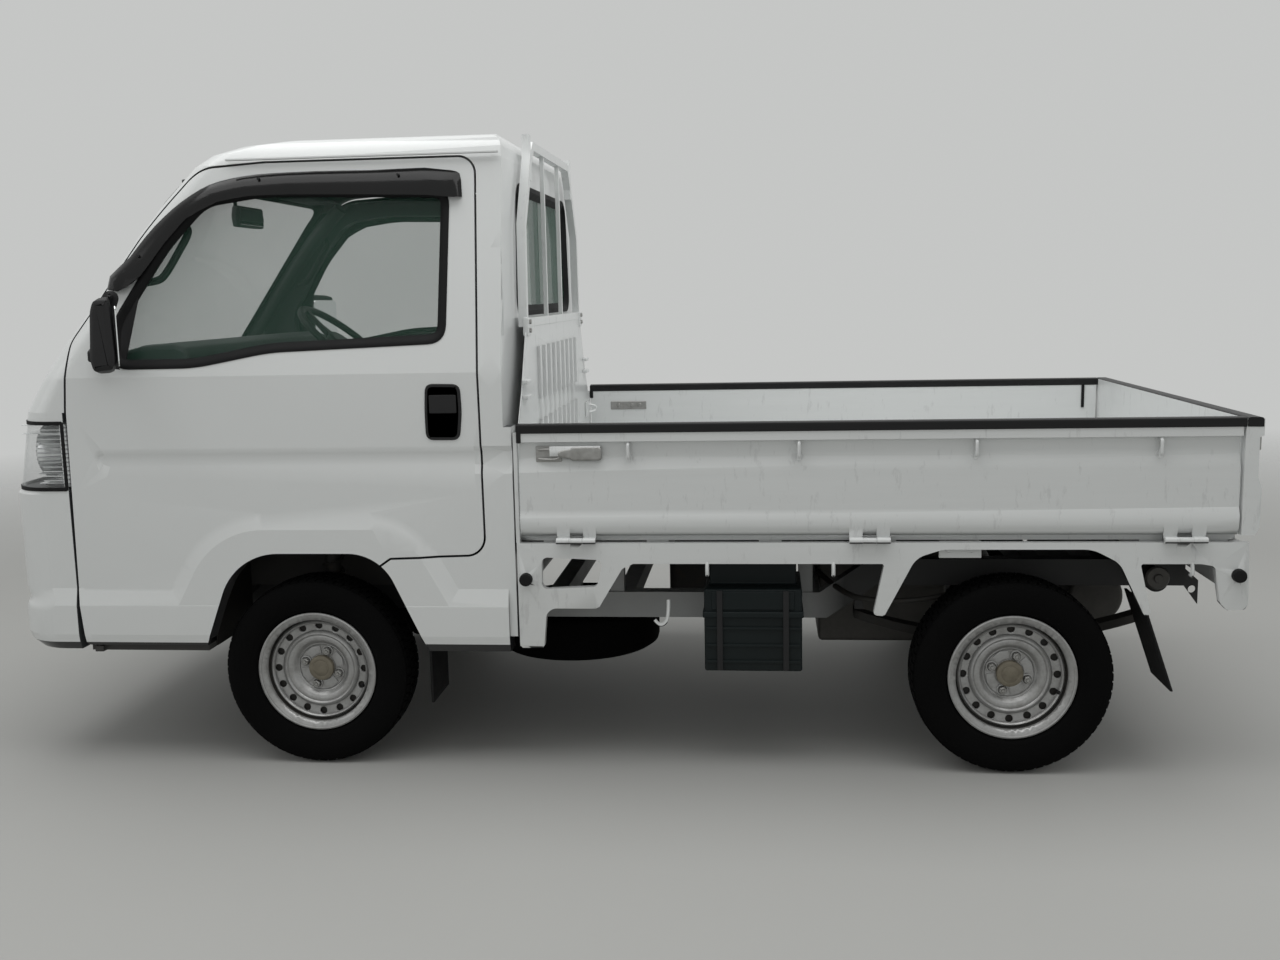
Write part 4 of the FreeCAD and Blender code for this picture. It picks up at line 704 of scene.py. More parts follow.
def ring_through(loops):
    """A closed ring whose section passes through loops of points in metres, such as a window seal."""
    bm = bmesh.new()
    rings = [loop_edges(bm, loop) for loop in loops]
    for i, ring in enumerate(rings):
        bmesh.ops.bridge_loops(bm, edges=ring + rings[(i + 1) % len(rings)])
    bmesh.ops.recalc_face_normals(bm, faces=bm.faces)
    return bm


def shell_through(loops):
    """A closed body through loops of points in metres, with both end loops filled."""
    bm = bmesh.new()
    rings = [loop_edges(bm, loop) for loop in loops]
    for near, far in zip(rings, rings[1:]):
        bmesh.ops.bridge_loops(bm, edges=near + far)
    for ring in (rings[0], rings[-1]):
        bmesh.ops.contextual_create(bm, geom=ring)
    bmesh.ops.recalc_face_normals(bm, faces=bm.faces)
    return bm


def strip(points, half_a, half_b):
    """A bar through points, whose four-sided section is given by two half sides."""
    a, b = mm(*half_a), mm(*half_b)
    corners = (-a - b, a - b, a + b, b - a)
    return shell_through([[mm(*point) + corner for corner in corners] for point in points])


def softened_corners(points, radius, steps=4):
    """A closed outline with each corner replaced by a short curve."""
    made = []
    for i, point in enumerate(points):
        before, after = points[i - 1] - point, points[(i + 1) % len(points)] - point
        reach = min(radius, MOST_OF_SIDE * before.length, MOST_OF_SIDE * after.length)
        start, end = point + before.normalized() * reach, point + after.normalized() * reach
        for step in range(steps + 1):
            share = step / steps
            made.append(start * (1 - share) ** 2 + point * 2 * share * (1 - share) + end * share ** 2)
    return made


def drawn_in(outline, distance):
    """A closed flat outline with every side moved inwards."""
    area = sum(a.cross(b) for a, b in zip(outline, outline[1:] + outline[:1]))
    made = []
    for i, point in enumerate(outline):
        before = (point - outline[i - 1]).normalized()
        after = (outline[(i + 1) % len(outline)] - point).normalized()
        along = (before + after).normalized()
        inward = Vector((-along.y, along.x)) * math.copysign(1, area)
        made.append(point + inward * distance / max(0.5, along.dot(before)))
    return made


def from_node(name, edge=0, segments=2):
    """A copy of a CAD node's mesh, merged, with its flat faces joined and its sharp edges rounded."""
    bm = bmesh.new()
    bm.from_mesh(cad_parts[name].data)
    bmesh.ops.remove_doubles(bm, verts=bm.verts, dist=CAD_WELD)
    bmesh.ops.dissolve_degenerate(bm, edges=bm.edges, dist=CAD_SLIVER)
    if edge:
        bmesh.ops.dissolve_limit(
            bm, angle_limit=CAD_FLAT, use_dissolve_boundaries=False, verts=bm.verts, edges=bm.edges,
        )
        rounded(bm, edge, segments, 32.0)
    return bm


def redress(name, finish, body="chassis", edge=0, smooth=35.0, segments=2):
    """The CAD node's own form with softened edges and a finish."""
    return solid_from(from_node(name, edge, segments), f"{name}_skin", finish, body, (name,), smooth)


NEAR = 0.4 * MM


def pressed_flush(bm, *corners):
    """Moves the corners found at one (y, z) on either side to another (y, z)."""
    for vert in bm.verts:
        for (y, z), (new_y, new_z) in corners:
            if abs(abs(vert.co.y) - y * MM) < NEAR and abs(vert.co.z - z * MM) < NEAR:
                vert.co.y = math.copysign(new_y * MM, vert.co.y)
                vert.co.z = new_z * MM
    return bm


def surface_of(*nodes):
    """CAD nodes as a surface that rays can be cast on."""
    bm = bmesh.new()
    for name in nodes:
        bm.from_mesh(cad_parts[name].data)
    tree = BVHTree.FromBMesh(bm)
    bm.free()
    return tree


AHEAD = Vector((1, 0, 0))
# Where rays start in front of the nose, in millimetres
RAY_X = 2200


def laid_on(nodes, flat, out):
    """Flat (y, z) points cast backwards onto CAD nodes and lifted off them, in metres."""
    tree = surface_of(*nodes)
    return [tree.ray_cast(mm(RAY_X, *point), -AHEAD)[0] + AHEAD * out * MM for point in flat]


# The cab's side: a flat lower body that leans in above the belt line

BELT, LEAN, SKIN = 1093, 0.183, 727
WINDOW = [(1318, 1120), (1322, 1236), (1192, 1441), (1072, 1569), (900, 1592), (389, 1577), (399, 1176),
          (880, 1159), (1088, 1121)]
CREASE = 11.0
BAND_Y, BAND_LOW, BAND_HIGH = 719, 832, 889
SOFT_LOW, SOFT_HIGH = 848, 883


def skin_y(z):
    """How far out the cab's side lies at a height."""
    return SKIN - max(0.0, z - BELT) * LEAN


def on_side(flat, out=0.0):
    """Flat (x, z) points laid on the cab's left side, this far proud of it, as points in metres."""
    return [mm(x, skin_y(z) + out, z) for x, z in flat]


def flat_points(*pairs):
    """Pairs of numbers as flat vectors."""
    return [Vector(pair) for pair in pairs]


def door_window():
    """The outline of a door window's opening, as (x, z)."""
    return softened_corners(flat_points(*WINDOW), 45, 6)


def soft_band(bm):
    """Runs the pressed band's edges in at a gentler slope, wider at its foot than at its top."""
    gain = (SOFT_HIGH - SOFT_LOW) / (BAND_HIGH - BAND_LOW)
    for vert in bm.verts:
        z = vert.co.z / MM
        if abs(abs(vert.co.y) - BAND_Y * MM) < NEAR and BAND_LOW - 0.5 < z < BAND_HIGH + 0.5:
            vert.co.z = (SOFT_LOW + (z - BAND_LOW) * gain) * MM
    return bm


GROUPS = []


def group(label):
    """Lists a function as one group of pieces, in the order that they are built."""
    def listed(work):
        GROUPS.append((work, label))
        return work
    return listed


@group("Cab Shell")
def cab_shell():
    """Build the painted panels of the cab"""
    for name in ("roof_panel", "windscreen_frame", "nose_panel", "cab_back_panel"):
        redress(name, "cab_paint", smooth=28.0)
    redress("front_bumper", "cab_paint", smooth=CREASE)
    sides = soft_band(from_node("cab_sides"))
    solid_from(sides, "cab_sides_skin", "cab_paint", replaces=("cab_sides",), smooth=CREASE)
    drip = strip([(x, 636 - (x - 245) * 0.004, 1672) for x in (250, 500, 800, 1000)], (0, 5, 0), (0, 0, 3))
    solid_from(doubled(rounded(drip, 1.5, 2, 50.0)), "drip_rail", "cab_paint")


def screen_outline(low_half, high_half, low_z, high_z, radius):
    """A tall outline that narrows upwards, as (y, z)."""
    corners = (-low_half, low_z), (low_half, low_z), (high_half, high_z), (-high_half, high_z)
    return softened_corners(flat_points(*corners), radius, 8)


@group("Glass and Seals")
def cab_glazing():
    """Build the windows and the rubber round them"""
    redress("cab_glass", "window_glass", smooth=50.0)
    edge, back = drawn_in(door_window(), 2), -12.5
    pane = shell_through([on_side(edge, back), on_side(edge, back - sizes().pane / MM)])
    on_both_sides(pane, "door_glass_{}_pane", "window_glass", "door_{}", replaces="door_glass_{}")
    hole = screen_outline(640, 560, 1040, 1648, 80)
    outer = laid_on(["windscreen_frame", "nose_panel", "roof_panel"], drawn_in(hole, -6), 3)
    inner, inner_back = (laid_on(["cab_glass"], drawn_in(hole, 30), out) for out in (1, -1))
    seal = ring_through([outer, inner, inner_back, [point - AHEAD * 16 * MM for point in outer]])
    solid_from(seal, "screen_seal", "seal_rubber", smooth=60.0)
    hole = screen_outline(470, 430, 1245, 1600, 60)
    section = (-10, 242.5), (4, 240.5), (20, 255.5), (20, 260), (-10, 247)
    loops = [[mm(x, *point) for point in drawn_in(hole, inset)] for inset, x in section]
    solid_from(ring_through(loops), "rear_glass_seal", "seal_rubber")


def door_seals():
    """The thick black run channel and the wiping strip of each door's window."""
    hole, lip = door_window(), sizes().seal_lip / MM
    section = (-5, 1.5), (2, lip), (10, 0.5), (21, -10), (21, -12.5), (-5, -14)
    seal = ring_through([on_side(drawn_in(hole, inset), out) for inset, out in section])
    on_both_sides(seal, "window_seal_{}", "seal_rubber", "door_{}", smooth=60.0)
    belt = (406, 1184), (640, 1179), (880, 1168), (980, 1150), (1090, 1130), (1300, 1128)
    wiper = bent_rod([(x, skin_y(z) - 9, z) for x, z in belt], 6, 8)
    on_both_sides(wiper, "window_wiper_strip_{}", "seal_rubber", "door_{}")


VISOR_TOP = [(1338, 1332), (1274, 1418), (1204, 1500), (1127, 1565), (1052, 1607), (956, 1628), (831, 1635),
             (600, 1634), (380, 1627), (357, 1618), (353, 1600), (350, 1556)]
VISOR_LOW = [(1296, 1326), (1234, 1366), (1166, 1453), (1106, 1517), (1018, 1560), (930, 1573), (831, 1574),
             (600, 1568), (440, 1562), (410, 1559), (395, 1557), (376, 1555)]
# Shares of the way from a visor's top to its foot, and how far it stands out there: face, then back
VISOR_SECTION = [(0.0, 1.5), (0.16, 10), (0.34, 17), (0.7, 21), (1.0, 22), (1.0, 19.5), (0.7, 18.5),
                 (0.36, 14.5), (0.18, 7), (0.04, 0.5)]


def door_visors():
    """Smoked rain visors that stand off the tops of the door windows."""
    loops = []
    for top, foot in zip(flat_points(*VISOR_TOP), flat_points(*VISOR_LOW)):
        loops.append([on_side([top + (foot - top) * share], out)[0] for share, out in VISOR_SECTION])
    bm = shell_through(loops)
    long_edges = [edge for edge in bm.edges if abs(edge.verts[0].co.x - edge.verts[1].co.x) > 20 * MM]
    bmesh.ops.subdivide_edges(bm, edges=long_edges, cuts=2, smooth=0.6)
    on_both_sides(bm, "rain_visor_{}", "visor_acrylic", "door_{}", smooth=40.0)
    for place, (x, z) in enumerate(((905, 1618), (520, 1618), (1240, 1420))):
        clip = rod((x, skin_y(z), z), (x, skin_y(z) + 22.5, z), 3.5, sides=12)
        on_both_sides(clip, f"visor_clip_{place}_{{}}", "grained_black", "door_{}")


def door_handles():
    """Black recessed handle plates with a pull and a key cylinder."""
    corners = (357, 1064), (452, 1066), (456, 990), (455, 915), (362, 914), (354, 990)
    outline = softened_corners(flat_points(*corners), 22, 6)
    section = (0, -2), (0, 0), (2, 3.5), (8, 3.5), (13, -6)
    plate = shell_through([on_side(drawn_in(outline, inset), out) for inset, out in section])
    on_both_sides(plate, "handle_plate_{}", "grained_black", "door_{}")
    pull = block((366, 723, 985), (444, 731, 1038), 4, 3)
    finger = block((372, 722.5, 972), (438, 728.5, 986), 2)
    on_both_sides(merge(pull, finger), "handle_pull_{}", "grained_black", "door_{}")
    barrel = [(0, 0), (0, 9.5), (5.5, 9.5), (6.8, 8), (6.8, 5.8), (5.6, 5.2), (5.6, 0)]
    on_both_sides(lathe(barrel, (372, 722, 934), steps=32), "key_cylinder_{}", "zinc_steel", "door_{}")
    # A black bar for the key slot, painted shade inside the slot.
    slot = block((371.2, 727, 931), (372.8, 728.2, 937))
    on_both_sides(slot, "key_slot_{}", "grained_black", "door_{}")


MIRROR_LOW, MIRROR_HIGH = 1108, 1312


def rear_of_mirror(y):
    """How far back a mirror head reaches, with its glass turned towards the driver."""
    return 1226 + max(0.0, 866 - y) * 0.56


def door_mirrors():
    """Black mirror heads on a hinged arm, with glass on their rear face."""
    low, high = MIRROR_LOW, MIRROR_HIGH
    loops = []
    for y, grow in ((747, -16), (756, -5), (790, 0), (840, -2), (866, -9), (874, -22)):
        back = rear_of_mirror(y)
        flat = flat_points((1312, low + 36), (1300, low), (back + 8, low + 8), (back, low + 40),
                           (back + 5, high - 26), (back + 12, high), (1288, high), (1302, high - 34))
        loops.append([mm(x, y, z) for x, z in drawn_in(softened_corners(flat, 22), -grow)])
    head = shell_through(loops)
    arm = shell_through([
        [mm(x, y, z) for x, z in ((1338, foot), (1370, foot + 4), (1370, top), (1334, top - 6))]
        for y, foot, top in ((712, 1128, 1196), (728, 1130, 1192), (744, 1134, 1176), (760, 1136, 1168))
    ])
    stalk = rod((1350, 752, 1150), (1290, 760, 1150), 14, 16, 16, 3)
    sail = (1290, 1122), (1322, 1119), (1326, 1238), (1262, 1336), (1244, 1352)
    sail = shell_through([on_side(sail, out) for out in (-12.5, -7.5)])
    body = merge(head, rounded(arm, 5, 2, 40.0), stalk, rounded(sail, 2, 2, 40.0))
    flat = softened_corners(flat_points((762, low + 22), (856, low + 22), (860, high - 22), (760, high - 20)),
                            16, 5)
    glass = shell_through([[mm(rear_of_mirror(y) - out, y, z) for y, z in outline]
                           for out, outline in ((1, flat), (4, drawn_in(flat, 1.5)))])
    on_both_sides(body, "mirror_{}_housing", "grained_black", "door_{}", replaces="door_mirror_{}",
                  smooth=38.0)
    on_both_sides(glass, "mirror_{}_glass", "mirror_glass", "door_{}")


@group("Doors")
def doors():
    """Build the doors with their visors, handles and mirrors"""
    for side, _ in SIDES:
        name = f"door_{side}"
        solid_from(soft_band(from_node(name)), f"{name}_skin", "cab_paint", name, (name,), CREASE)
    door_seals()
    door_visors()
    door_handles()
    door_mirrors()
    card = softened_corners(flat_points((420, 660), (420, 1080), (1080, 1090), (1330, 1080), (1390, 720),
                                        (1180, 690), (1000, 760), (640, 760), (560, 690)), 30)
    card = shell_through([[mm(x, y, z) for x, z in drawn_in(card, inset)]
                          for inset, y in ((0, 667), (0, 661), (6, 657))])
    armrest = block((560, 612, 905), (900, 662, 952), 14, 4)
    grip = block((600, 622, 952), (760, 650, 962), 4)
    on_both_sides(merge(card, armrest, grip), "door_card_{}", "trim_grey", "door_{}")
    boss = lathe([(0, 0), (0, 21), (12, 19), (12, 0)], (1010, 642, 860), steps=32)
    crank = rod((1010, 642, 860), (950, 634, 800), 8, 6, 12, 2)
    knob = lathe([(0, 0), (0, 10), (20, 13), (26, 8), (26, 0)], (950, 608, 800), steps=24)
    on_both_sides(merge(boss, crank, knob), "window_winder_{}", "trim_grey", "door_{}")


LAMP_LOW, LAMP_HIGH, LAMP_EYE = 787, 971, 880
LENS_THICK, LEVEL = 3.5, 0.7
# The headlamps' border: rays meet a headlamp's outside on their way to an upright axis behind it
AXIS_X, AXIS_Y, DOOR_X, RAY_LONG = 1400, 350, 1478, 1.2
BORDER_STEPS, BORDER_OUT, BORDER_THICK, BEHIND_LAMPS = 28, 0.8, 3, 1.2


def lamp_lens(sign):
    """The outside of one headlamp of the CAD node, as a thin shell."""
    bm = from_node("lamps")
    away = [vert for vert in bm.verts if vert.co.x <= 0 or vert.co.y * sign < 0]
    bmesh.ops.delete(bm, geom=away, context="VERTS")
    lowest_x = min(vert.co.x for vert in bm.verts)
    inner_y = min(abs(vert.co.y) for vert in bm.verts)
    corner = Vector((lowest_x, inner_y * sign, 0))
    drop = []
    for face in bm.faces:
        centre, normal = face.calc_center_median(), face.normal
        outside = normal.dot(Vector((centre.x, centre.y, 0)) - corner) > 0.0
        on_cut = abs(abs(centre.y) - inner_y) < MM or centre.x < lowest_x + MM
        if abs(normal.z) > LEVEL or not outside or on_cut:
            drop.append(face)
    bmesh.ops.delete(bm, geom=drop, context="FACES")
    bmesh.ops.solidify(bm, geom=bm.faces[:], thickness=LENS_THICK * MM)
    return bm


def bowl(centre, radius):
    """A reflector of an even wall, open to the front."""
    profile = [(-55, 0), (-54, radius * 0.3), (-30, radius * 0.72), (12, radius), (12, radius + 2),
               (-32, radius * 0.75), (-57, radius * 0.32), (-58, 0)]
    return lathe(profile, centre, AHEAD, 48)


def cast_route(z, sign):
    """Points on a headlamp's outside at a height, from the door's edge round to its inner end, in metres."""
    tree = surface_of("lamps", "nose_panel", "front_bumper")
    pivot = mm(AXIS_X, AXIS_Y * sign, z)
    start, end = math.degrees(math.atan2(SKIN - AXIS_Y, DOOR_X - AXIS_X)), 19.0
    route = []
    for step in range(BORDER_STEPS + 1):
        angle = math.radians(start + (end - start) * step / BORDER_STEPS)
        way = Vector((math.cos(angle), math.sin(angle) * sign, 0))
        hit = tree.ray_cast(pivot + way * RAY_LONG, -way)[0]
        if hit:
            route.append(hit + way * BORDER_OUT * MM)
    return route


def line_on(route, wide, upright):
    """A raised border line along a route in metres, wide in one direction."""
    half, thick = upright * wide / 2 * MM, BORDER_THICK * MM
    loops = []
    for i, point in enumerate(route):
        along = (route[min(i + 1, len(route) - 1)] - route[max(i - 1, 0)]).normalized()
        out = along.cross(upright).normalized()
        if out.dot(point - Vector((BEHIND_LAMPS, 0, point.z))) < 0:
            out = -out
        loops.append([point - half - out * thick, point - half + out * thick * 0.5,
                      point + half + out * thick * 0.5, point + half - out * thick])
    return shell_through(loops)


@group("Headlamps")
def headlamps():
    """Build the headlamps with their lenses and bowls"""
    for side, sign in SIDES:
        solid_from(lamp_lens(sign), f"headlamp_{side}_lens", "lamp_glass", replaces=("lamps",), smooth=50.0)
        foot, top = cast_route(LAMP_LOW, sign), cast_route(LAMP_HIGH, sign)
        lines = [line_on(route, 10, Vector((0, 0, 1))) for route in (foot, top)]
        lines.append(line_on([foot[0], top[0]], 8, AHEAD))
        solid_from(merge(*lines), f"headlamp_{side}_border", "seal_rubber")
    inside = [bowl((1600, 560, LAMP_EYE), 78), bowl((1565, 650, LAMP_EYE), 40)]
    inside.append(block((1478, 446, 790), (1500, 706, 968), 4))
    for z, front in ((794, 1592), (822, 1592), (936, 1632), (960, 1632)):
        inside.append(block((1490, 452, z), (front, 668, z + 3), 1, 1))
    inside += [block((1480, 690, z), (1560, 700, z + 2.5), 0.8, 1) for z in range(806, 962, 13)]
    on_both_sides(merge(*inside), "headlamp_{}_bowls", "lamp_chrome")
    bulb = lathe([(0, 0), (0, 8), (20, 9), (30, 6), (33, 0)], (1556, 560, LAMP_EYE), AHEAD, 20)
    on_both_sides(bulb, "headlamp_{}_bulb", "clear_lens")
    signal = lathe([(0, 0), (0, 10), (16, 11), (26, 7), (29, 0)], (1524, 660, LAMP_EYE), AHEAD, 20)
    on_both_sides(signal, "headlamp_{}_signal", "amber_lens")


@group("Tail Lamps")
def tail_lamps():
    """Build the lamps under the tailgate"""
    face, back = -1682, -1656.5
    lenses = (("red_lens", 706, 648), ("amber_lens", 646, 592), ("clear_lens", 590, 556),
              ("red_lens", 554, 520))
    for place, (finish_name, outer, inner) in enumerate(lenses):
        one = block((face, inner, 516), (back, outer - 3, 600), 4, 3)
        on_both_sides(one, f"tail_lamp_{{}}_{place}", finish_name)
    tray = block((back - 10, 514, 510), (back + 0.5, 708, 606), 3)
    on_both_sides(tray, "tail_lamp_{}_tray", "grained_black")


@group("Front Trim")
def front_trim():
    """Build the grille, the cowl and the wipers"""
    bars = [block((1678, -345, z), (1686, 345, z + 7), 2) for z in (566, 584, 602, 620)]
    mesh_back = block((1676, -356, 556), (1678, 356, 632), 0.8, 1)
    solid_from(merge(mesh_back, *bars), "bumper_grille", "grained_black")
    flat = softened_corners(flat_points((-610, 1004), (610, 1004), (604, 1034), (-604, 1034)), 12)
    dense = []
    for a, b in zip(flat, flat[1:] + flat[:1]):
        steps = max(1, int((b - a).length / 50))
        dense += [a.lerp(b, i / steps) for i in range(steps)]
    cowl = shell_through([laid_on(["windscreen_frame", "nose_panel"], dense, out) for out in (-3, 4)])
    solid_from(cowl, "cowl_strip", "grained_black")
    parts = []
    for foot, tip in ((-330, 150), (290, -190)):
        arm = [(foot + (tip - foot) * share, 1026 + rise)
               for share, rise in ((0.0, 0), (0.25, 22), (0.6, 44), (1.0, 66))]
        arm = [point / MM for point in laid_on(["windscreen_frame", "cab_glass", "nose_panel"], arm, 16)]
        blade = [(tip + (foot - tip) * share * 0.95, 1084 - 20 * share) for share in (0.0, 0.3, 0.6, 0.9)]
        blade = [point / MM for point in laid_on(["windscreen_frame", "cab_glass"], blade, 10)]
        cap = lathe([(-12, 0), (-12, 14), (4, 13), (8, 9), (8, 0)], arm[0], AHEAD, 24)
        parts += [bent_rod(arm, 5, 8), cap, bent_rod(blade, 6, 8)]
    solid_from(merge(*parts), "windscreen_wipers", "grained_black")


@group("Steering Wheel")
def steering_wheel():
    """Build the steering wheel"""
    turns = [math.tau * i / 16 for i in range(16)]
    rim = lathe([(12 * math.cos(turn), 178 + 13.5 * math.sin(turn)) for turn in turns], axis=(0, 0, 1))
    boss = lathe([(-50, 0), (-50, 44), (-30, 56), (-6, 62), (2, 54), (4, 0)], axis=(0, 0, 1), steps=48)
    spokes = []
    for angle in (0, 120, 240):
        loops = []
        for reach, half, low, high in ((40, 24, -26, -4), (100, 17, -18, -4), (172, 14, -7, 6)):
            section = flat_points((-half, low), (half, low), (half, high), (-half, high))
            loops.append([mm(reach, *point) for point in softened_corners(section, 6, 3)])
        spokes.append(turned(shell_through(loops), angle, "Z"))
    whole = moved(turned(merge(rim, boss, *spokes), -40, "Y"), mm(1025, -340, 1145))
    solid_from(whole, "steering_wheel_skin", "grained_black", "steering_wheel",
               ("steering_wheel",), 40.0)


PEDALS = (-250, -340)


def dash_fittings():
    """The panels, knobs, lid, shelf and vents of the dashboard, and its top pad and hood."""
    hood = shell_through([
        [mm(x, y, z) for y, z in ((-480, 1108), (-200, 1108), (-214, top), (-250, top + 14), (-430, top + 14),
                                  (-466, top))]
        for x, top in ((1196, 1150), (1215, 1158), (1290, 1150), (1380, 1118))
    ])
    cluster = block((1192, -460, 1060), (1204, -220, 1142), 6, 3)
    centre = block((1186, -110, 890), (1204, 110, 1060), 10, 3)
    profile = [(0, 0), (0, 16), (14, 14), (16, 11), (16, 0)]
    knobs = [lathe(profile, (1187, y, 925), -AHEAD, 24) for y in (-60, 0, 60)]
    box_lid = block((1190, 170, 900), (1203, 560, 1010), 8, 3)
    shelf = block((1196, 160, 1040), (1330, 600, 1046), 2)
    vents = []
    for y, z in ((-560, 1072), (-150, 1088), (150, 1088), (560, 1072)):
        vents.append(lathe([(0, 30), (10, 38), (13, 36), (13, 31), (4, 28)], (1202, y, z), -AHEAD, 36))
        vents += [block((1192, y - 29, foot), (1200, y + 29, foot + 2), 0.6, 1)
                  for foot in (z - 16, z - 6, z + 4, z + 14)]
    top = [(1182, 1100), (1172, 1140), (1182, 1166), (1215, 1180), (1300, 1176), (1400, 1150), (1480, 1122),
           (1490, 1100)]
    pad = shell_through([
        [mm(x - drop, y, z - drop * (z > 1110)) for x, z in top]
        for y, drop in ((-598, 14), (-588, 3), (-560, 0), (560, 0), (588, 3), (598, 14))
    ])
    solid_from(rounded(pad, 4, 2, 40.0), "dash_top_pad", "trim_grey", smooth=50.0)
    solid_from(rounded(hood, 6, 2, 40.0), "cluster_hood", "trim_grey", smooth=45.0)
    solid_from(merge(cluster, centre, *knobs), "dash_panels", "grained_black")
    solid_from(merge(box_lid, shelf, *vents), "dash_fittings", "trim_grey")


@group("Cabin")
def cabin():
    """Build the dashboard and the cab's fittings"""
    redress("dashboard", "trim_grey", edge=6, smooth=40.0)
    redress("cab_floor", "floor_mat", smooth=30.0)
    dash_fittings()
    knob = [(-30, 0), (-30, 14), (0, 22), (24, 20), (34, 10), (36, 0)]
    gaiter = [(0, 0), (0, 60), (20, 50), (45, 22), (60, 14), (60, 0)]
    levers = [
        rod((1090, -40, 655), (1060, -40, 850), 7, 6, 12), lathe(knob, (1057, -40, 866), (-0.15, 0, 1), 24),
        lathe(gaiter, (1084, -40, 660), (-0.1, 0, 1), 28),
        rod((760, 20, 690), (900, 20, 770), 12, 13, 16, 3), block((740, 4, 660), (830, 36, 700), 8, 3),
    ]
    solid_from(merge(*levers), "cab_levers", "grained_black", smooth=40.0)
    stalks = [rod((1060, root, 1096), (1030, tip, 1120), 6, 5, 10)
              for root, tip in ((-350, -180), (-330, -500))]
    solid_from(merge(*stalks), "column_stalks", "grained_black")
    pedals = [block((1440, y - 26, 500), (1452, y + 26, 556), 5) for y in PEDALS]
    pedals.append(block((1440, -452, 470), (1450, -412, 570), 5))
    pedals += [rod((1452, y, 540), (1470, y, 880), 6, 6, 8) for y in (*PEDALS, -432)]
    solid_from(merge(*pedals), "pedals", "grained_black")
    housing = shell_through([
        [mm(x, y, z) for y, z in ((-grow - 96, 1528), (grow + 96, 1528), (grow + 104, 1560),
                                  (grow + 92, 1592), (-grow - 92, 1592), (-grow - 104, 1560))]
        for x, grow in ((1196, 0), (1204, 4), (1222, -6), (1230, -30))
    ])
    stem = bent_rod([(1226, 0, 1560), (1244, 0, 1580), (1250, 0, 1612), (1244, 0, 1640)], 6, 8)
    solid_from(merge(rounded(housing, 4, 2, 40.0), stem), "cab_mirror_housing", "grained_black")
    solid_from(block((1193.5, -90, 1534), (1196.5, 90, 1586), 1, 1), "cab_mirror_glass", "mirror_glass")
    grip = [(1272, 600, 1350), (1244, 578, 1352), (1222, 570, 1372), (1178, 566, 1440), (1150, 566, 1482),
            (1148, 574, 1500), (1164, 592, 1512)]
    solid_from(doubled(bent_rod(grip, 11, 16)), "pillar_grips", "grained_black")
    pillar = [(1500, 640, 1130), (1380, 612, 1290), (1262, 588, 1440), (1150, 560, 1560), (1080, 540, 1620)]
    solid_from(doubled(bent_rod(pillar, 26)), "pillar_trim", "trim_grey", smooth=50.0)
    solid_from(doubled(block((1060, 150, 1628), (1200, 480, 1640), 4)), "sun_visors", "trim_grey")


VOXEL, SWELL_FRAMES, SWELL_LIMIT = 10 * MM, 16, 12 * MM
SEAT_Y, CHANNEL_WIDE, CROSS_WIDE = 340, 20, 16


def apply_modifiers(thing):
    """Gives an object the mesh that its modifiers make, and removes them."""
    old, mesh = thing.data, evaluated_mesh(thing)
    thing.modifiers.clear()
    thing.data = mesh
    bpy.data.meshes.remove(old)


def cushion(name, bm, way=(0, 0, 0), seams=()):
    """A pad swelled by simulation. Each seam, as (axis, place, width, depth), is then pressed in one way."""
    made = piece(mesh_of(bm, name), name, "seat_cloth", smooth=60.0)
    start = made.modifiers.new("remesh", "REMESH")
    start.mode = "VOXEL"
    start.voxel_size = VOXEL
    apply_modifiers(made)
    rest = [vert.co.copy() for vert in made.data.vertices]
    cloth = made.modifiers.new("cloth", "CLOTH")
    cloth.settings.use_pressure = True
    cloth.settings.uniform_pressure_force = 4.0
    cloth.settings.effector_weights.gravity = 0.0
    scene = bpy.context.scene
    for number in range(SWELL_FRAMES):
        scene.frame_set(number + 1)
    apply_modifiers(made)
    scene.frame_set(1)
    for vert, before in zip(made.data.vertices, rest):
        step = vert.co - before
        if step.length > SWELL_LIMIT:
            vert.co = before + step.normalized() * SWELL_LIMIT
    for vert in made.data.vertices:
        for axis, place, width, depth in seams:
            gap = abs(vert.co[axis] - place * MM)
            if gap < width * MM:
                vert.co += Vector(way) * depth * MM * (1 - gap / (width * MM)) ** 2
    made.data.update()
    made.data.shade_smooth()
    return made


@group("Seats")
def seats():
    """Build the padded seats"""
    for side, sign in SIDES:
        y = SEAT_Y * sign
        along, channels = (y - 105, y + 105), {}
        for name, depth, axis, places in (("cushion", 9, 0, (600, 750)), ("squab", 8, 2, (840, 980))):
            channels[name] = [(1, place, CHANNEL_WIDE, depth) for place in along]
            channels[name] += [(axis, place, CROSS_WIDE, 6) for place in places]
        base = block((452, y - 214, 664), (908, y + 214, 776), 30, 4)
        base = cushion(f"seat_{side}_cushion", base, (0, 0, -1), channels["cushion"])
        back = turned(block((312, y - 210, 690), (408, y + 210, 1085), 30, 4), 3.5, "Y", (400, y, 690))
        cushion(f"seat_{side}_squab", back, (-1, 0, 0), channels["squab"])
        cushion(f"seat_{side}_headrest", block((306, y - 120, 1090), (386, y + 120, 1205), 28, 4))
        if side == "left":
            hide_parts("seats")
    steel = [rod((345, SEAT_Y + y, 1060), (345, SEAT_Y + y, 1120), 6, sides=12) for y in (-50, 50)]
    steel += [block((460, SEAT_Y + y - 12, 660.5), (900, SEAT_Y + y + 12, 672), 3) for y in (-170, 170)]
    on_both_sides(merge(*steel), "seat_{}_steel", "zinc_steel")
    on_both_sides(block((420, 92, 700), (462, 116, 840), 5, 3), "seat_{}_buckle", "grained_black")
    route = (300, 640, 1500), (302, 640, 1200), (304, 632, 900), (330, 600, 700)
    on_both_sides(strip(route, (23, 0, 0), (0, 0.8, 0)), "seat_{}_belt", "seat_cloth")


HOOKS = (-89, -536, -988, -1445)
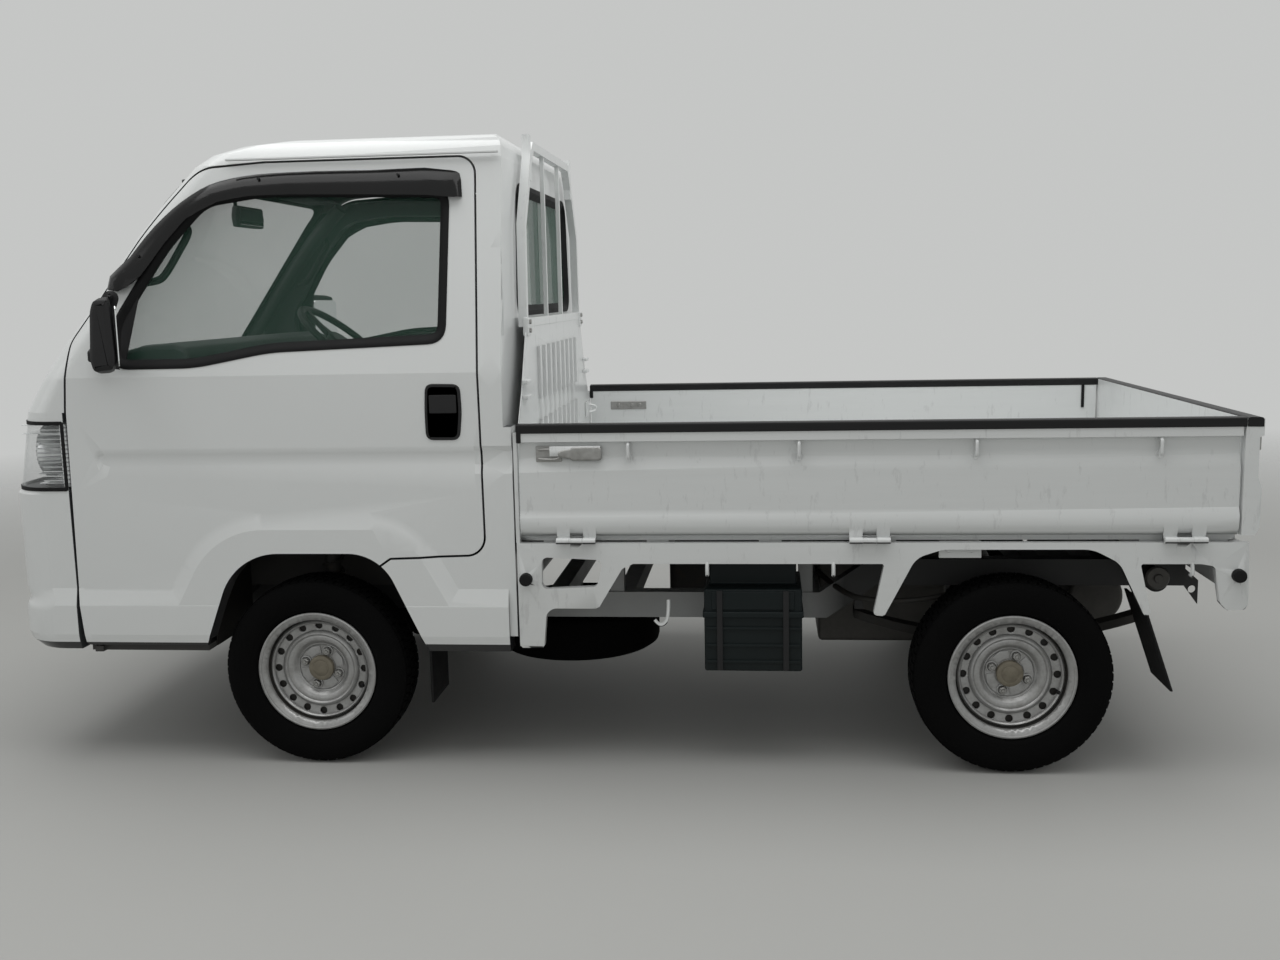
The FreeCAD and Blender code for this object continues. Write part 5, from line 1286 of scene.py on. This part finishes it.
# The middles of the side gates' hinges, whose two leaves leave room for the knuckle of the CAD gate
HINGES = (55, -718, -1511)
HINGE_Y, HINGE_Z, LEAF_LONG, LEAF_STARTS = 745.5, 643, 34.8, (-53, 17.7)
LATCH_Z = 876
# The vinyl cover's section over a gate's top flange, as (y, z), and the outside of the flange
RAIL_SECTION = [(739.6, 931), (741, 933), (741.2, 949), (739.5, 953), (735, 955), (709, 955), (703.5, 953),
                (701.5, 949), (701.5, 931), (703.2, 930.5)]
RAIL_Y, TAIL_RAIL_X = 722, -1669.5


def gate_latch():
    """The wire loop and pressed lever on the outside of a side gate's front end."""
    loop = bent_rod([(152, 724, 862), (130, 730, 860), (96, 732, 862), (92, 732, 874), (96, 732, 886),
                     (130, 730, 888), (152, 724, 886)], 4, 10)
    loops = []
    for x, half in ((-18, 15), (-12, 19), (60, 19), (66, 14), (88, 11), (98, 7)):
        section = (724, -half), (735, -half), (739, 5 - half), (739, half - 5), (735, half), (724, half)
        loops.append([mm(x, y, LATCH_Z + z) for y, z in section])
    base = block((90, 716, 852), (160, 722, 896), 3)
    return merge(base, loop, rounded(shell_through(loops), 2, 2, 40.0))


@group("Gates")
def gates():
    """Build the drop sides and the tailgate"""
    for side, _ in SIDES:
        body = f"gate_{side}"
        skin = pressed_flush(
            from_node(body), ((749.5, 684), (736.0, 674.5)), ((749.5, 649.9), (730.5, 649.9)),
        )
        solid_from(skin, f"{body}_skin", "bed_paint", body, replaces=(body,), smooth=30.0)
    cover = shell_through([[mm(x, y, z) for y, z in RAIL_SECTION] for x in (-1648.5, -1646, 203, 207)])
    end = block((196, 700, 905), (208.5, 741.5, 953), 3)
    hooks, leaves = [], []
    for x in HOOKS:
        route = (722, 862), (739, 862), (741, 872), (741, 892), (739, 902), (722, 902)
        hooks.append(bent_rod([(x, y, z) for y, z in route], sizes().hook_wire / MM))
        hooks += [lathe([(0, 0), (0, 11), (2, 10), (2, 0)], (x, 718, z), steps=16) for z in (862, 902)]
    for x in HINGES:
        for start in LEAF_STARTS:
            ends = ((x + start + run, HINGE_Y, HINGE_Z) for run in (0, LEAF_LONG))
            leaves.append(rod(*ends, 8.4, sides=24, edge=1.2))
    # Black discs behind the gate's holes, painted shade inside the holes.
    hole = [(0, 0), (0, 7.5), (0.6, 7.5), (0.6, 0)]
    holes = [lathe(hole, (x, 728.4, 921), steps=20) for x in (-1543, -1572)]
    rivet = [(0, 0), (0, 8), (3, 6), (4, 0)]
    inside = [block((-4, 699.5, 862), (130, 703.5, 892), 1.5, 1)]
    inside += [lathe(rivet, (x, 699.5, 877), (0, -1, 0), 16) for x in (20, 50, 100)]
    inner_stop = block((-1600, 697.5, 850), (-1590, 703.5, 935), 1, 1)
    for name, finish_name, smooth, parts in (
        ("rail_cover", "rail_vinyl", 40.0, [cover, end]), ("hooks", "bed_paint", 50.0, hooks),
        ("latch", "zinc_steel", 40.0, [gate_latch()]), ("hinge_leaves", "bed_paint", 35.0, leaves),
        ("inner_latch", "zinc_steel", 35.0, inside), ("inner_stop", "seal_rubber", 35.0, [inner_stop]),
        ("holes", "seal_rubber", 35.0, holes),
    ):
        on_both_sides(merge(*parts), f"gate_{{}}_{name}", finish_name, "gate_{}", smooth=smooth)
    redress("tailgate", "bed_paint", "tailgate", smooth=30.0)
    cover = shell_through([[mm(TAIL_RAIL_X + out - RAIL_Y, y, z) for out, z in RAIL_SECTION]
                           for y in (-738.5, -736, 736, 738.5)])
    solid_from(cover, "tailgate_rail_cover", "rail_vinyl", "tailgate", smooth=40.0)
    keeper = block((-1696.5, 670, 868), (-1688.5, 710, 905), 2)
    handle = bent_rod([(-1688, 664, 860), (-1693, 664, 868), (-1693, 664, 906), (-1688, 664, 912)], 3.5, 8)
    solid_from(doubled(keeper, handle), "tailgate_latches", "zinc_steel", "tailgate")


@group("Load Bed")
def bed():
    """Build the load floor, the headboard and the guard"""
    for name in ("bed_floor", "headboard", "rear_panel"):
        redress(name, "bed_paint", smooth=30.0)
    redress("guard_frame", "bed_paint", edge=3, smooth=40.0)
    fittings = [block((196, 550, z), (212, 610, z + 12), 3) for z in (1010, 1052)]
    fittings += [
        bent_rod([(208, 650, 886), (186, 660, 884), (180, 664, 872), (186, 660, 860), (208, 650, 858)],
                 4.5, 10),
        block((204, 585, 846), (211.5, 655, 900), 3), block((206, 480, 1180), (222, 520, 1232), 4),
    ]
    solid_from(doubled(*fittings), "headboard_fittings", "bed_paint", smooth=40.0)
    bolt = [(0, 0), (0, 7), (5, 7), (6, 5), (6, 0)]
    bolts = [lathe(bolt, (206, y, z), -AHEAD, 6) for y in (500, -500) for z in (1196, 1220)]
    solid_from(merge(*bolts), "guard_bolts", "zinc_steel")


@group("Skirts")
def skirts():
    """Build the bed's skirts and their fittings"""
    skin = pressed_flush(from_node("bed_skirts"), ((745.5, 604), (731.2, 604)), ((745.5, 635), (734, 635)))
    solid_from(skin, "bed_skirts_skin", "bed_paint", replaces=("bed_skirts",), smooth=30.0)
    stop = [(0, 0), (0, 17.5), (14, 17.2), (18.5, 15.8), (19.8, 12), (19.2, 5), (19.2, 0)]
    stops = [lathe(stop, (x, 730.5, z), steps=32) for x, z in ((195, 536), (-1648, 549))]
    hook = (728, 582), (733, 572), (735, 552), (728, 543), (718, 548)
    hooks = [bent_rod([(x, y, z) for y, z in hook], 5, 10) for x in (-293, -625, -1534)]
    hooks.append(bent_rod([(-185, 690, 470), (-186, 700, 440), (-180, 706, 410), (-160, 708, 402),
                           (-148, 706, 418)], 5, 10))
    bolt = [(0, 0), (0, 9), (4, 9), (5, 7), (5, 0)]
    bracket = [block((-1010, 700, 588), (-900, 705, 634), 3)]
    bracket += [lathe(bolt, (x, 705, 612), steps=6) for x in (-985, -925)]
    cap = [(0, 0), (0, 30), (8, 32), (14, 28), (14, 12), (20, 10), (20, 0)]
    solid_from(doubled(*stops), "skirt_stops", "seal_rubber", smooth=40.0)
    solid_from(doubled(*hooks), "skirt_rope_hooks", "bed_paint", smooth=50.0)
    solid_from(doubled(*bracket), "skirt_brackets", "bed_paint", smooth=40.0)
    solid_from(doubled(lathe(cap, (-1486, 600, 514), steps=40)), "rear_tube_caps", "cast_metal", smooth=40.0)


# Half of a tyre's section, as (along the axle, radius), from the bead to the middle of the tread
TYRE_HALF = [
    (50.5, 153), (50.5, 170), (58, 174), (63, 180), (64.5, 184), (66, 190), (67.5, 192), (70, 204), (72, 216),
    (72.3, 228), (70.5, 240), (68, 247), (66, 250), (62, 256), (56, 257.5), (40, 258), (22, 258.3),
    (0, 258.5),
]
# Each row of tread blocks: its two sides, its outer radius and its turn in blocks
TREAD_ROWS = ((-54, -33, 263.2, 0.0), (-29, -3, 263.9, 0.5), (3, 29, 263.9, 0.0), (33, 54, 263.2, 0.5))
TREAD_FOOT, SHOULDER_Y, SHOULDER_DROP = 256.5, 48, 0.35
LUG_Y, LUG_FOOT = 61.48, 241.5
FIRST_NUT, VALVE_TURN, WEIGHT_TURN = math.radians(20), math.radians(200), math.degrees(0.9)


def tyre_mesh(centre, sign):
    """A tyre with grooved tread blocks, shoulder cuts and sidewall rings."""
    profile = TYRE_HALF + [(-along, radius) for along, radius in reversed(TYRE_HALF[:-1])]
    carcass = lathe(profile + [(-45, 150), (45, 150)], centre, (0, sign, 0))
    count = sizes().tread_blocks
    row = []
    for inner, outer, top, shift in TREAD_ROWS:
        loops = []
        for radius in (TREAD_FOOT, top):
            loop = []
            for y, share in ((inner, 0.10), (outer, 0.02), (outer, 0.80), (inner, 0.88)):
                turn = (share + shift) * math.tau / count
                reach = radius - max(0.0, abs(y) - SHOULDER_Y) * SHOULDER_DROP
                loop.append(mm(*centre) + mm(math.cos(turn) * reach, sign * y, math.sin(turn) * reach))
            loops.append(loop)
        row.append(shell_through(loops))
    lugs = [moved(block((-4.2, -3, 0), (4.2, 3, 13), 1, 1), mm(*centre) + mm(0, along, LUG_FOOT))
            for along in (LUG_Y, -LUG_Y)]
    return merge(carcass, *(spun_copies(merge(*parts), count, mm(*centre)) for parts in (row, lugs)))


def rim_details(centre, sign):
    """The pressed rings and pads, the nuts, the cap, the valve and the dark inside of a steel wheel."""
    def at(out, reach=0.0, turn=0.0):
        """A place this far out along the axle, and this far from it."""
        return Vector(centre) + Vector((math.cos(turn) * reach, sign * out, math.sin(turn) * reach))

    def spun(profile, place, steps=96):
        """A profile turned round the axle's direction."""
        return lathe(profile, place, (0, sign, 0), steps)

    steel = [
        spun([(0, 160), (4.5, 160.5), (6.2, 164.5), (4.5, 168.2), (0, 169), (-3, 165)], at(54)),
        spun([(-6, 131), (-1, 132.5), (2, 136.5), (-1, 140.5), (-6, 142), (-12, 136.5)], at(36)),
        spun([(-4, 94), (1, 96), (3.5, 100.5), (1, 106), (-4, 110), (-8, 100.5)], at(28)),
        spun([(-2, 64), (1.5, 66), (3, 69), (1, 73), (-3, 75), (-4, 69)], at(12), 72),
    ]
    seat = [(-2, 0), (-2, 16.5), (2, 15.5), (2.5, 12.5), (0, 10), (0, 0)]
    nut = [(0, 0), (0, 10.8), (12, 10.8), (14.5, 8.5), (14.5, 6.2), (12.5, 5.5), (12.5, 0)]
    nuts = []
    for i in range(4):
        turn = FIRST_NUT + math.radians(90) * i
        steel.append(spun(seat, at(11, 50, turn), 24))
        nuts += [spun(nut, at(11, 50, turn), 6), rod(at(20, 50, turn), at(27, 50, turn), 4.8, 4.2, 12)]
        loops = []
        for out, less in ((10, 0), (13.2, 0), (14.2, 2.5)):
            section = (40 + less, -0.42), (61 - less, -0.36), (64 - less, 0), (61 - less, 0.36), \
                (40 + less, 0.42), (38.5 + less, 0)
            middle, narrow = turn + math.radians(45), 1 - less * 0.03
            loops.append([at(out, reach, middle + swing * narrow) * MM for reach, swing in section])
        steel.append(shell_through(loops))
    cap = spun([(-4, 0), (-4, 36), (3, 36.5), (8.5, 34.5), (11.5, 28), (10.5, 22.5), (12.5, 20.5), (14, 12),
                (14.5, 0)], at(17), 48)
    # Painted shade: a dark ring behind the vent holes, and a dark skin over the deep well between the outer
    # flange and the pressed ring.
    dark = merge(
        spun([(0, 100), (4.5, 100), (5.5, 139), (0, 139)], at(10), 64),
        spun([(0, 142.5), (4, 147), (20, 151.8), (20.5, 153.2), (3, 148.5), (-1, 143.5)], at(31)),
    )
    valve = rod(at(22, 136, VALVE_TURN), at(46, 130, VALVE_TURN), 5.5, 4.2, 14, 1)
    weight = turned(block((-16, -4, 0), (16, 3, 10), 2, 1), WEIGHT_TURN, "Y", (0, 0, -158))
    return {
        "pressings": (merge(*steel), "wheel_silver", None, 40.0),
        "nuts": (merge(*nuts), "zinc_steel", None, 35.0),
        "cap": (cap, "hub_dust", None, 40.0), "valve": (valve, "seal_rubber", None, 35.0),
        # The well's dark rings are painted shade in the wheel's hollows.
        "well": (dark, "chassis_black", "wheel_steel", 35.0),
        "weight": (moved(weight, (at(52) + Vector((0, 0, 158))) * MM), "zinc_steel", None, 35.0),
    }


@group("Wheels")
def wheels():
    """Build the tyres and the steel wheels"""
    for end in ("front", "rear"):
        for side, sign in SIDES:
            name = f"{end}_{side}"
            body, tyre = f"wheel_{name}", f"tyre_{name}"
            box_low, box_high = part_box(tyre)
            centre = (box_low + box_high) / 2 / MM
            solid_from(tyre_mesh(centre, sign), f"{tyre}_skin", "tyre_rubber", body, (tyre,), 30.0)
            redress(f"rim_{name}", "wheel_silver", body, smooth=38.0)
            for part, (bm, finish_name, slot, smooth) in rim_details(centre, sign).items():
                solid_from(bm, f"rim_{name}_{part}", finish_name, body, smooth=smooth)
    redress("spare_wheel", "tyre_rubber", smooth=38.0)


AXLE_X, STRUT_X, STRUT_Y, HUB_Z = -1096.5, 803.5, 520, 264
COIL_RADIUS, COIL_FOOT, COIL_TALL, COIL_TURNS, COIL_STEPS = 29.5, 412, 195, 5, 14


def coil(y):
    """A front spring round a strut, wound the same way on either side."""
    points = []
    for i in range(COIL_TURNS * COIL_STEPS + 1):
        angle = math.tau * i / COIL_STEPS
        height = COIL_FOOT + COIL_TALL * i / (COIL_TURNS * COIL_STEPS)
        points.append((STRUT_X + COIL_RADIUS * math.cos(angle), y + COIL_RADIUS * math.sin(angle), height))
    return bent_rod(points, sizes().spring_wire / MM, 8)


@group("Underside")
def underside():
    """Build the frame, the axles and the units under the bed"""
    for name, finish_name, edge, smooth, segments in (
        ("chassis_frame", "rail_paint", 0, 35.0, 2), ("engine_block", "cast_metal", 12, 40.0, 2),
        ("rear_suspension", "chassis_black", 0, 40.0, 2), ("front_suspension", "chassis_black", 3, 40.0, 2),
        ("fuel_tank", "chassis_black", 25, 50.0, 4), ("muffler", "cast_metal", 12, 50.0, 3),
        ("mud_flaps", "seal_rubber", 2, 40.0, 2),
    ):
        redress(name, finish_name, edge=edge, smooth=smooth, segments=segments)
    for side, _ in SIDES:
        redress(f"knuckle_{side}", "cast_metal", f"knuckle_{side}", edge=2, smooth=40.0)
    # Black plates ahead of the front tyres, painted shade that darkens the inside of the front wheel arches.
    guard = block((1107, 396, 324), (1111, 655, 600), 1, 1)
    solid_from(doubled(guard), "wheel_arch_guards", "chassis_black")
    battery_case()
    solid_from(merge(coil(STRUT_Y), coil(-STRUT_Y)), "front_springs", "chassis_black", smooth=50.0)
    case = [(-100, 0), (-100, 45), (-60, 85), (0, 105), (60, 85), (100, 45), (100, 0)]
    case = lathe(case, (AXLE_X, 0, HUB_Z), steps=36)
    pinion = rod((-1020, 0, 270), (-975, 0, 300), 45, 35, 24, 4)
    solid_from(merge(case, pinion), "rear_differential", "chassis_black", smooth=40.0)
    exhaust = [(-1400, -330, 394), (-1400, -380, 394), (-1440, -430, 380), (-1560, -440, 360),
               (-1640, -440, 350)]
    solid_from(bent_rod(exhaust, 19, 16), "exhaust_pipe", "cast_metal", smooth=50.0)
    pipe = [(-600, 330, 470), (-660, 560, 452), (-760, 610, 448), (-880, 610, 452), (-960, 560, 460)]
    solid_from(bent_rod(pipe, 8), "side_pipe", "chassis_black", smooth=50.0)


def battery_case():
    """The dark plastic battery box with its lid, ribs and straps."""
    rear, front = (corner.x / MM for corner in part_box("battery_box"))
    redress("battery_box", "box_plastic", edge=6, smooth=40.0, segments=3)
    ribs = [block((rear + 4, 700, z), (front - 4, 710.5, z + 8), 2) for z in (300, 345, 392)]
    ribs.append(block((rear - 4, 500, 425), (front + 4, 712.5, 442.5), 4, 3))
    ribs.append(block((rear + 20, 702, 446), (front - 20, 708.5, 498), 6, 3))
    solid_from(merge(*ribs), "battery_box_ribs", "box_plastic", smooth=40.0)
    straps = [block((x, 706, 280), (x + 16, 714.5, 500), 2) for x in (rear + 35, front - 50)]
    solid_from(merge(*straps), "battery_box_straps", "grained_black")


FLOOR_HALF = 60.0
SKY_ON_OBJECTS, SKY_SEEN = 0.60, 0.80
# Each light: its place, where it points, its width and height, and its power
LIGHTS = {
    "overhead": ((0.0, 0.6, 4.2), (0.0, 0.0, 0.0), 6.5, 4.0, 145.0),
    "side_fill": ((0.6, 6.5, 2.6), (0.0, 0.0, 0.8), 6.0, 3.0, 14.0),
    "nose_fill": ((6.0, 2.5, 2.8), (1.2, 0.0, 0.9), 3.0, 3.0, 18.0),
    "rear_fill": ((-5.5, -3.5, 3.0), (-0.6, 0.0, 0.8), 4.0, 3.0, 14.0),
}
CAMERA_PLACE = (-0.4505, 4.0260, 1.2922)
CAMERA_YAW, CAMERA_PITCH, CAMERA_ROLL = -5.75, 8.38, -1.195
FOCAL_PIXELS, PHOTO_WIDTH = 1267.0, 1280.0


def sky():
    """An even pale surround, a little brighter where the camera, a gloss or a glass looks at it."""
    world = bpy.data.worlds.new("studio")
    world.use_nodes = True
    bpy.context.scene.world = world
    tree = world.node_tree
    path = tree.nodes.new("ShaderNodeLightPath")
    seen = path.outputs["Is Camera Ray"]
    for ray in ("Is Transmission Ray", "Is Glossy Ray"):
        either = tree.nodes.new("ShaderNodeMath")
        either.operation = "MAXIMUM"
        tree.links.new(seen, either.inputs[0])
        tree.links.new(path.outputs[ray], either.inputs[1])
        seen = either.outputs[0]
    strength = tree.nodes.new("ShaderNodeMapRange")
    tree.links.new(seen, strength.inputs["Value"])
    strength.inputs["To Min"].default_value = SKY_ON_OBJECTS
    strength.inputs["To Max"].default_value = SKY_SEEN
    back = tree.nodes["Background"]
    back.inputs["Color"].default_value = rgba(colour("backdrop"))
    tree.links.new(strength.outputs[0], back.inputs["Strength"])


def camera():
    """The camera at the photograph's place."""
    yaw, pitch, roll = (math.radians(angle) for angle in (CAMERA_YAW, CAMERA_PITCH, CAMERA_ROLL))
    forward = Vector((-math.sin(yaw), -math.cos(yaw), 0))
    right = Vector((-math.cos(yaw), math.sin(yaw), 0))
    up = Vector((0, 0, 1))
    ahead = math.cos(pitch) * forward - math.sin(pitch) * up
    above = math.sin(pitch) * forward + math.cos(pitch) * up
    aside = math.cos(roll) * right + math.sin(roll) * above
    above = -math.sin(roll) * right + math.cos(roll) * above
    data = bpy.data.cameras.new("camera")
    data.sensor_width = 36.0
    data.lens = data.sensor_width * FOCAL_PIXELS / PHOTO_WIDTH
    data.clip_end = 200.0
    made = bpy.data.objects.new("camera", data)
    columns = (aside, above, -ahead, CAMERA_PLACE)
    made.matrix_world = Matrix([[column[i] for column in columns] for i in range(3)] + [(0, 0, 0, 1)])
    bpy.context.scene.collection.objects.link(made)
    bpy.context.scene.camera = made


@group("Stage")
def stage():
    """Set up the floor, the lights and the camera"""
    scene = bpy.context.scene
    bm = bmesh.new()
    bmesh.ops.create_grid(bm, x_segments=1, y_segments=1, size=FLOOR_HALF)
    mesh = bpy.data.meshes.new("floor")
    bm.to_mesh(mesh)
    bm.free()
    ground = bpy.data.objects.new("floor", mesh)
    scene.collection.objects.link(ground)
    mesh.materials.append(material("floor"))
    sky()
    for name, (place, aim, width, height, power) in LIGHTS.items():
        data = bpy.data.lights.new(name, "AREA")
        data.shape = "RECTANGLE"
        data.size, data.size_y, data.energy = width, height, power
        lamp = bpy.data.objects.new(name, data)
        lamp.location = place
        lamp.rotation_euler = (Vector(aim) - Vector(place)).to_track_quat("-Z", "Y").to_euler()
        scene.collection.objects.link(lamp)
    camera()
    scene.view_settings.view_transform = "Standard"


# Operators, one for each group of pieces


def make_operator(work, label):
    """A class of operator that runs one group's function."""
    def execute(self, context):
        work()
        return {"FINISHED"}

    return type(f"TRUCK_OT_{work.__name__}", (bpy.types.Operator,), {
        "bl_idname": f"truck.{work.__name__}", "bl_label": label, "__doc__": work.__doc__,
        "bl_options": {"REGISTER", "UNDO"}, "execute": execute,
    })


OPERATORS = [make_operator(*listed) for listed in GROUPS]


class TRUCK_PT_panel(bpy.types.Panel):
    """Lists the truck's sizes, colours and steps."""

    bl_idname = "TRUCK_PT_panel"
    bl_label = "Kei Truck"
    bl_space_type = "VIEW_3D"
    bl_region_type = "UI"
    bl_category = "Kei Truck"

    def draw(self, context):
        for settings in (context.scene.truck_sizes, context.scene.truck_colours):
            for name in settings.__annotations__:
                self.layout.prop(settings, name)
        for operator in OPERATORS:
            self.layout.operator(operator.bl_idname)


CLASSES = (TruckSizes, TruckColours, *OPERATORS, TRUCK_PT_panel)


def register():
    for cls in CLASSES:
        bpy.utils.register_class(cls)
    bpy.types.Scene.truck_sizes = PointerProperty(type=TruckSizes)
    bpy.types.Scene.truck_colours = PointerProperty(type=TruckColours)


def unregister():
    del bpy.types.Scene.truck_sizes
    del bpy.types.Scene.truck_colours
    for cls in reversed(CLASSES):
        bpy.utils.unregister_class(cls)


def main():
    """Builds every group and writes the CAD model's box and the visual model's box."""
    register()
    for work, _ in GROUPS:
        getattr(bpy.ops.truck, work.__name__)()


if __name__ == "__main__":
    main()
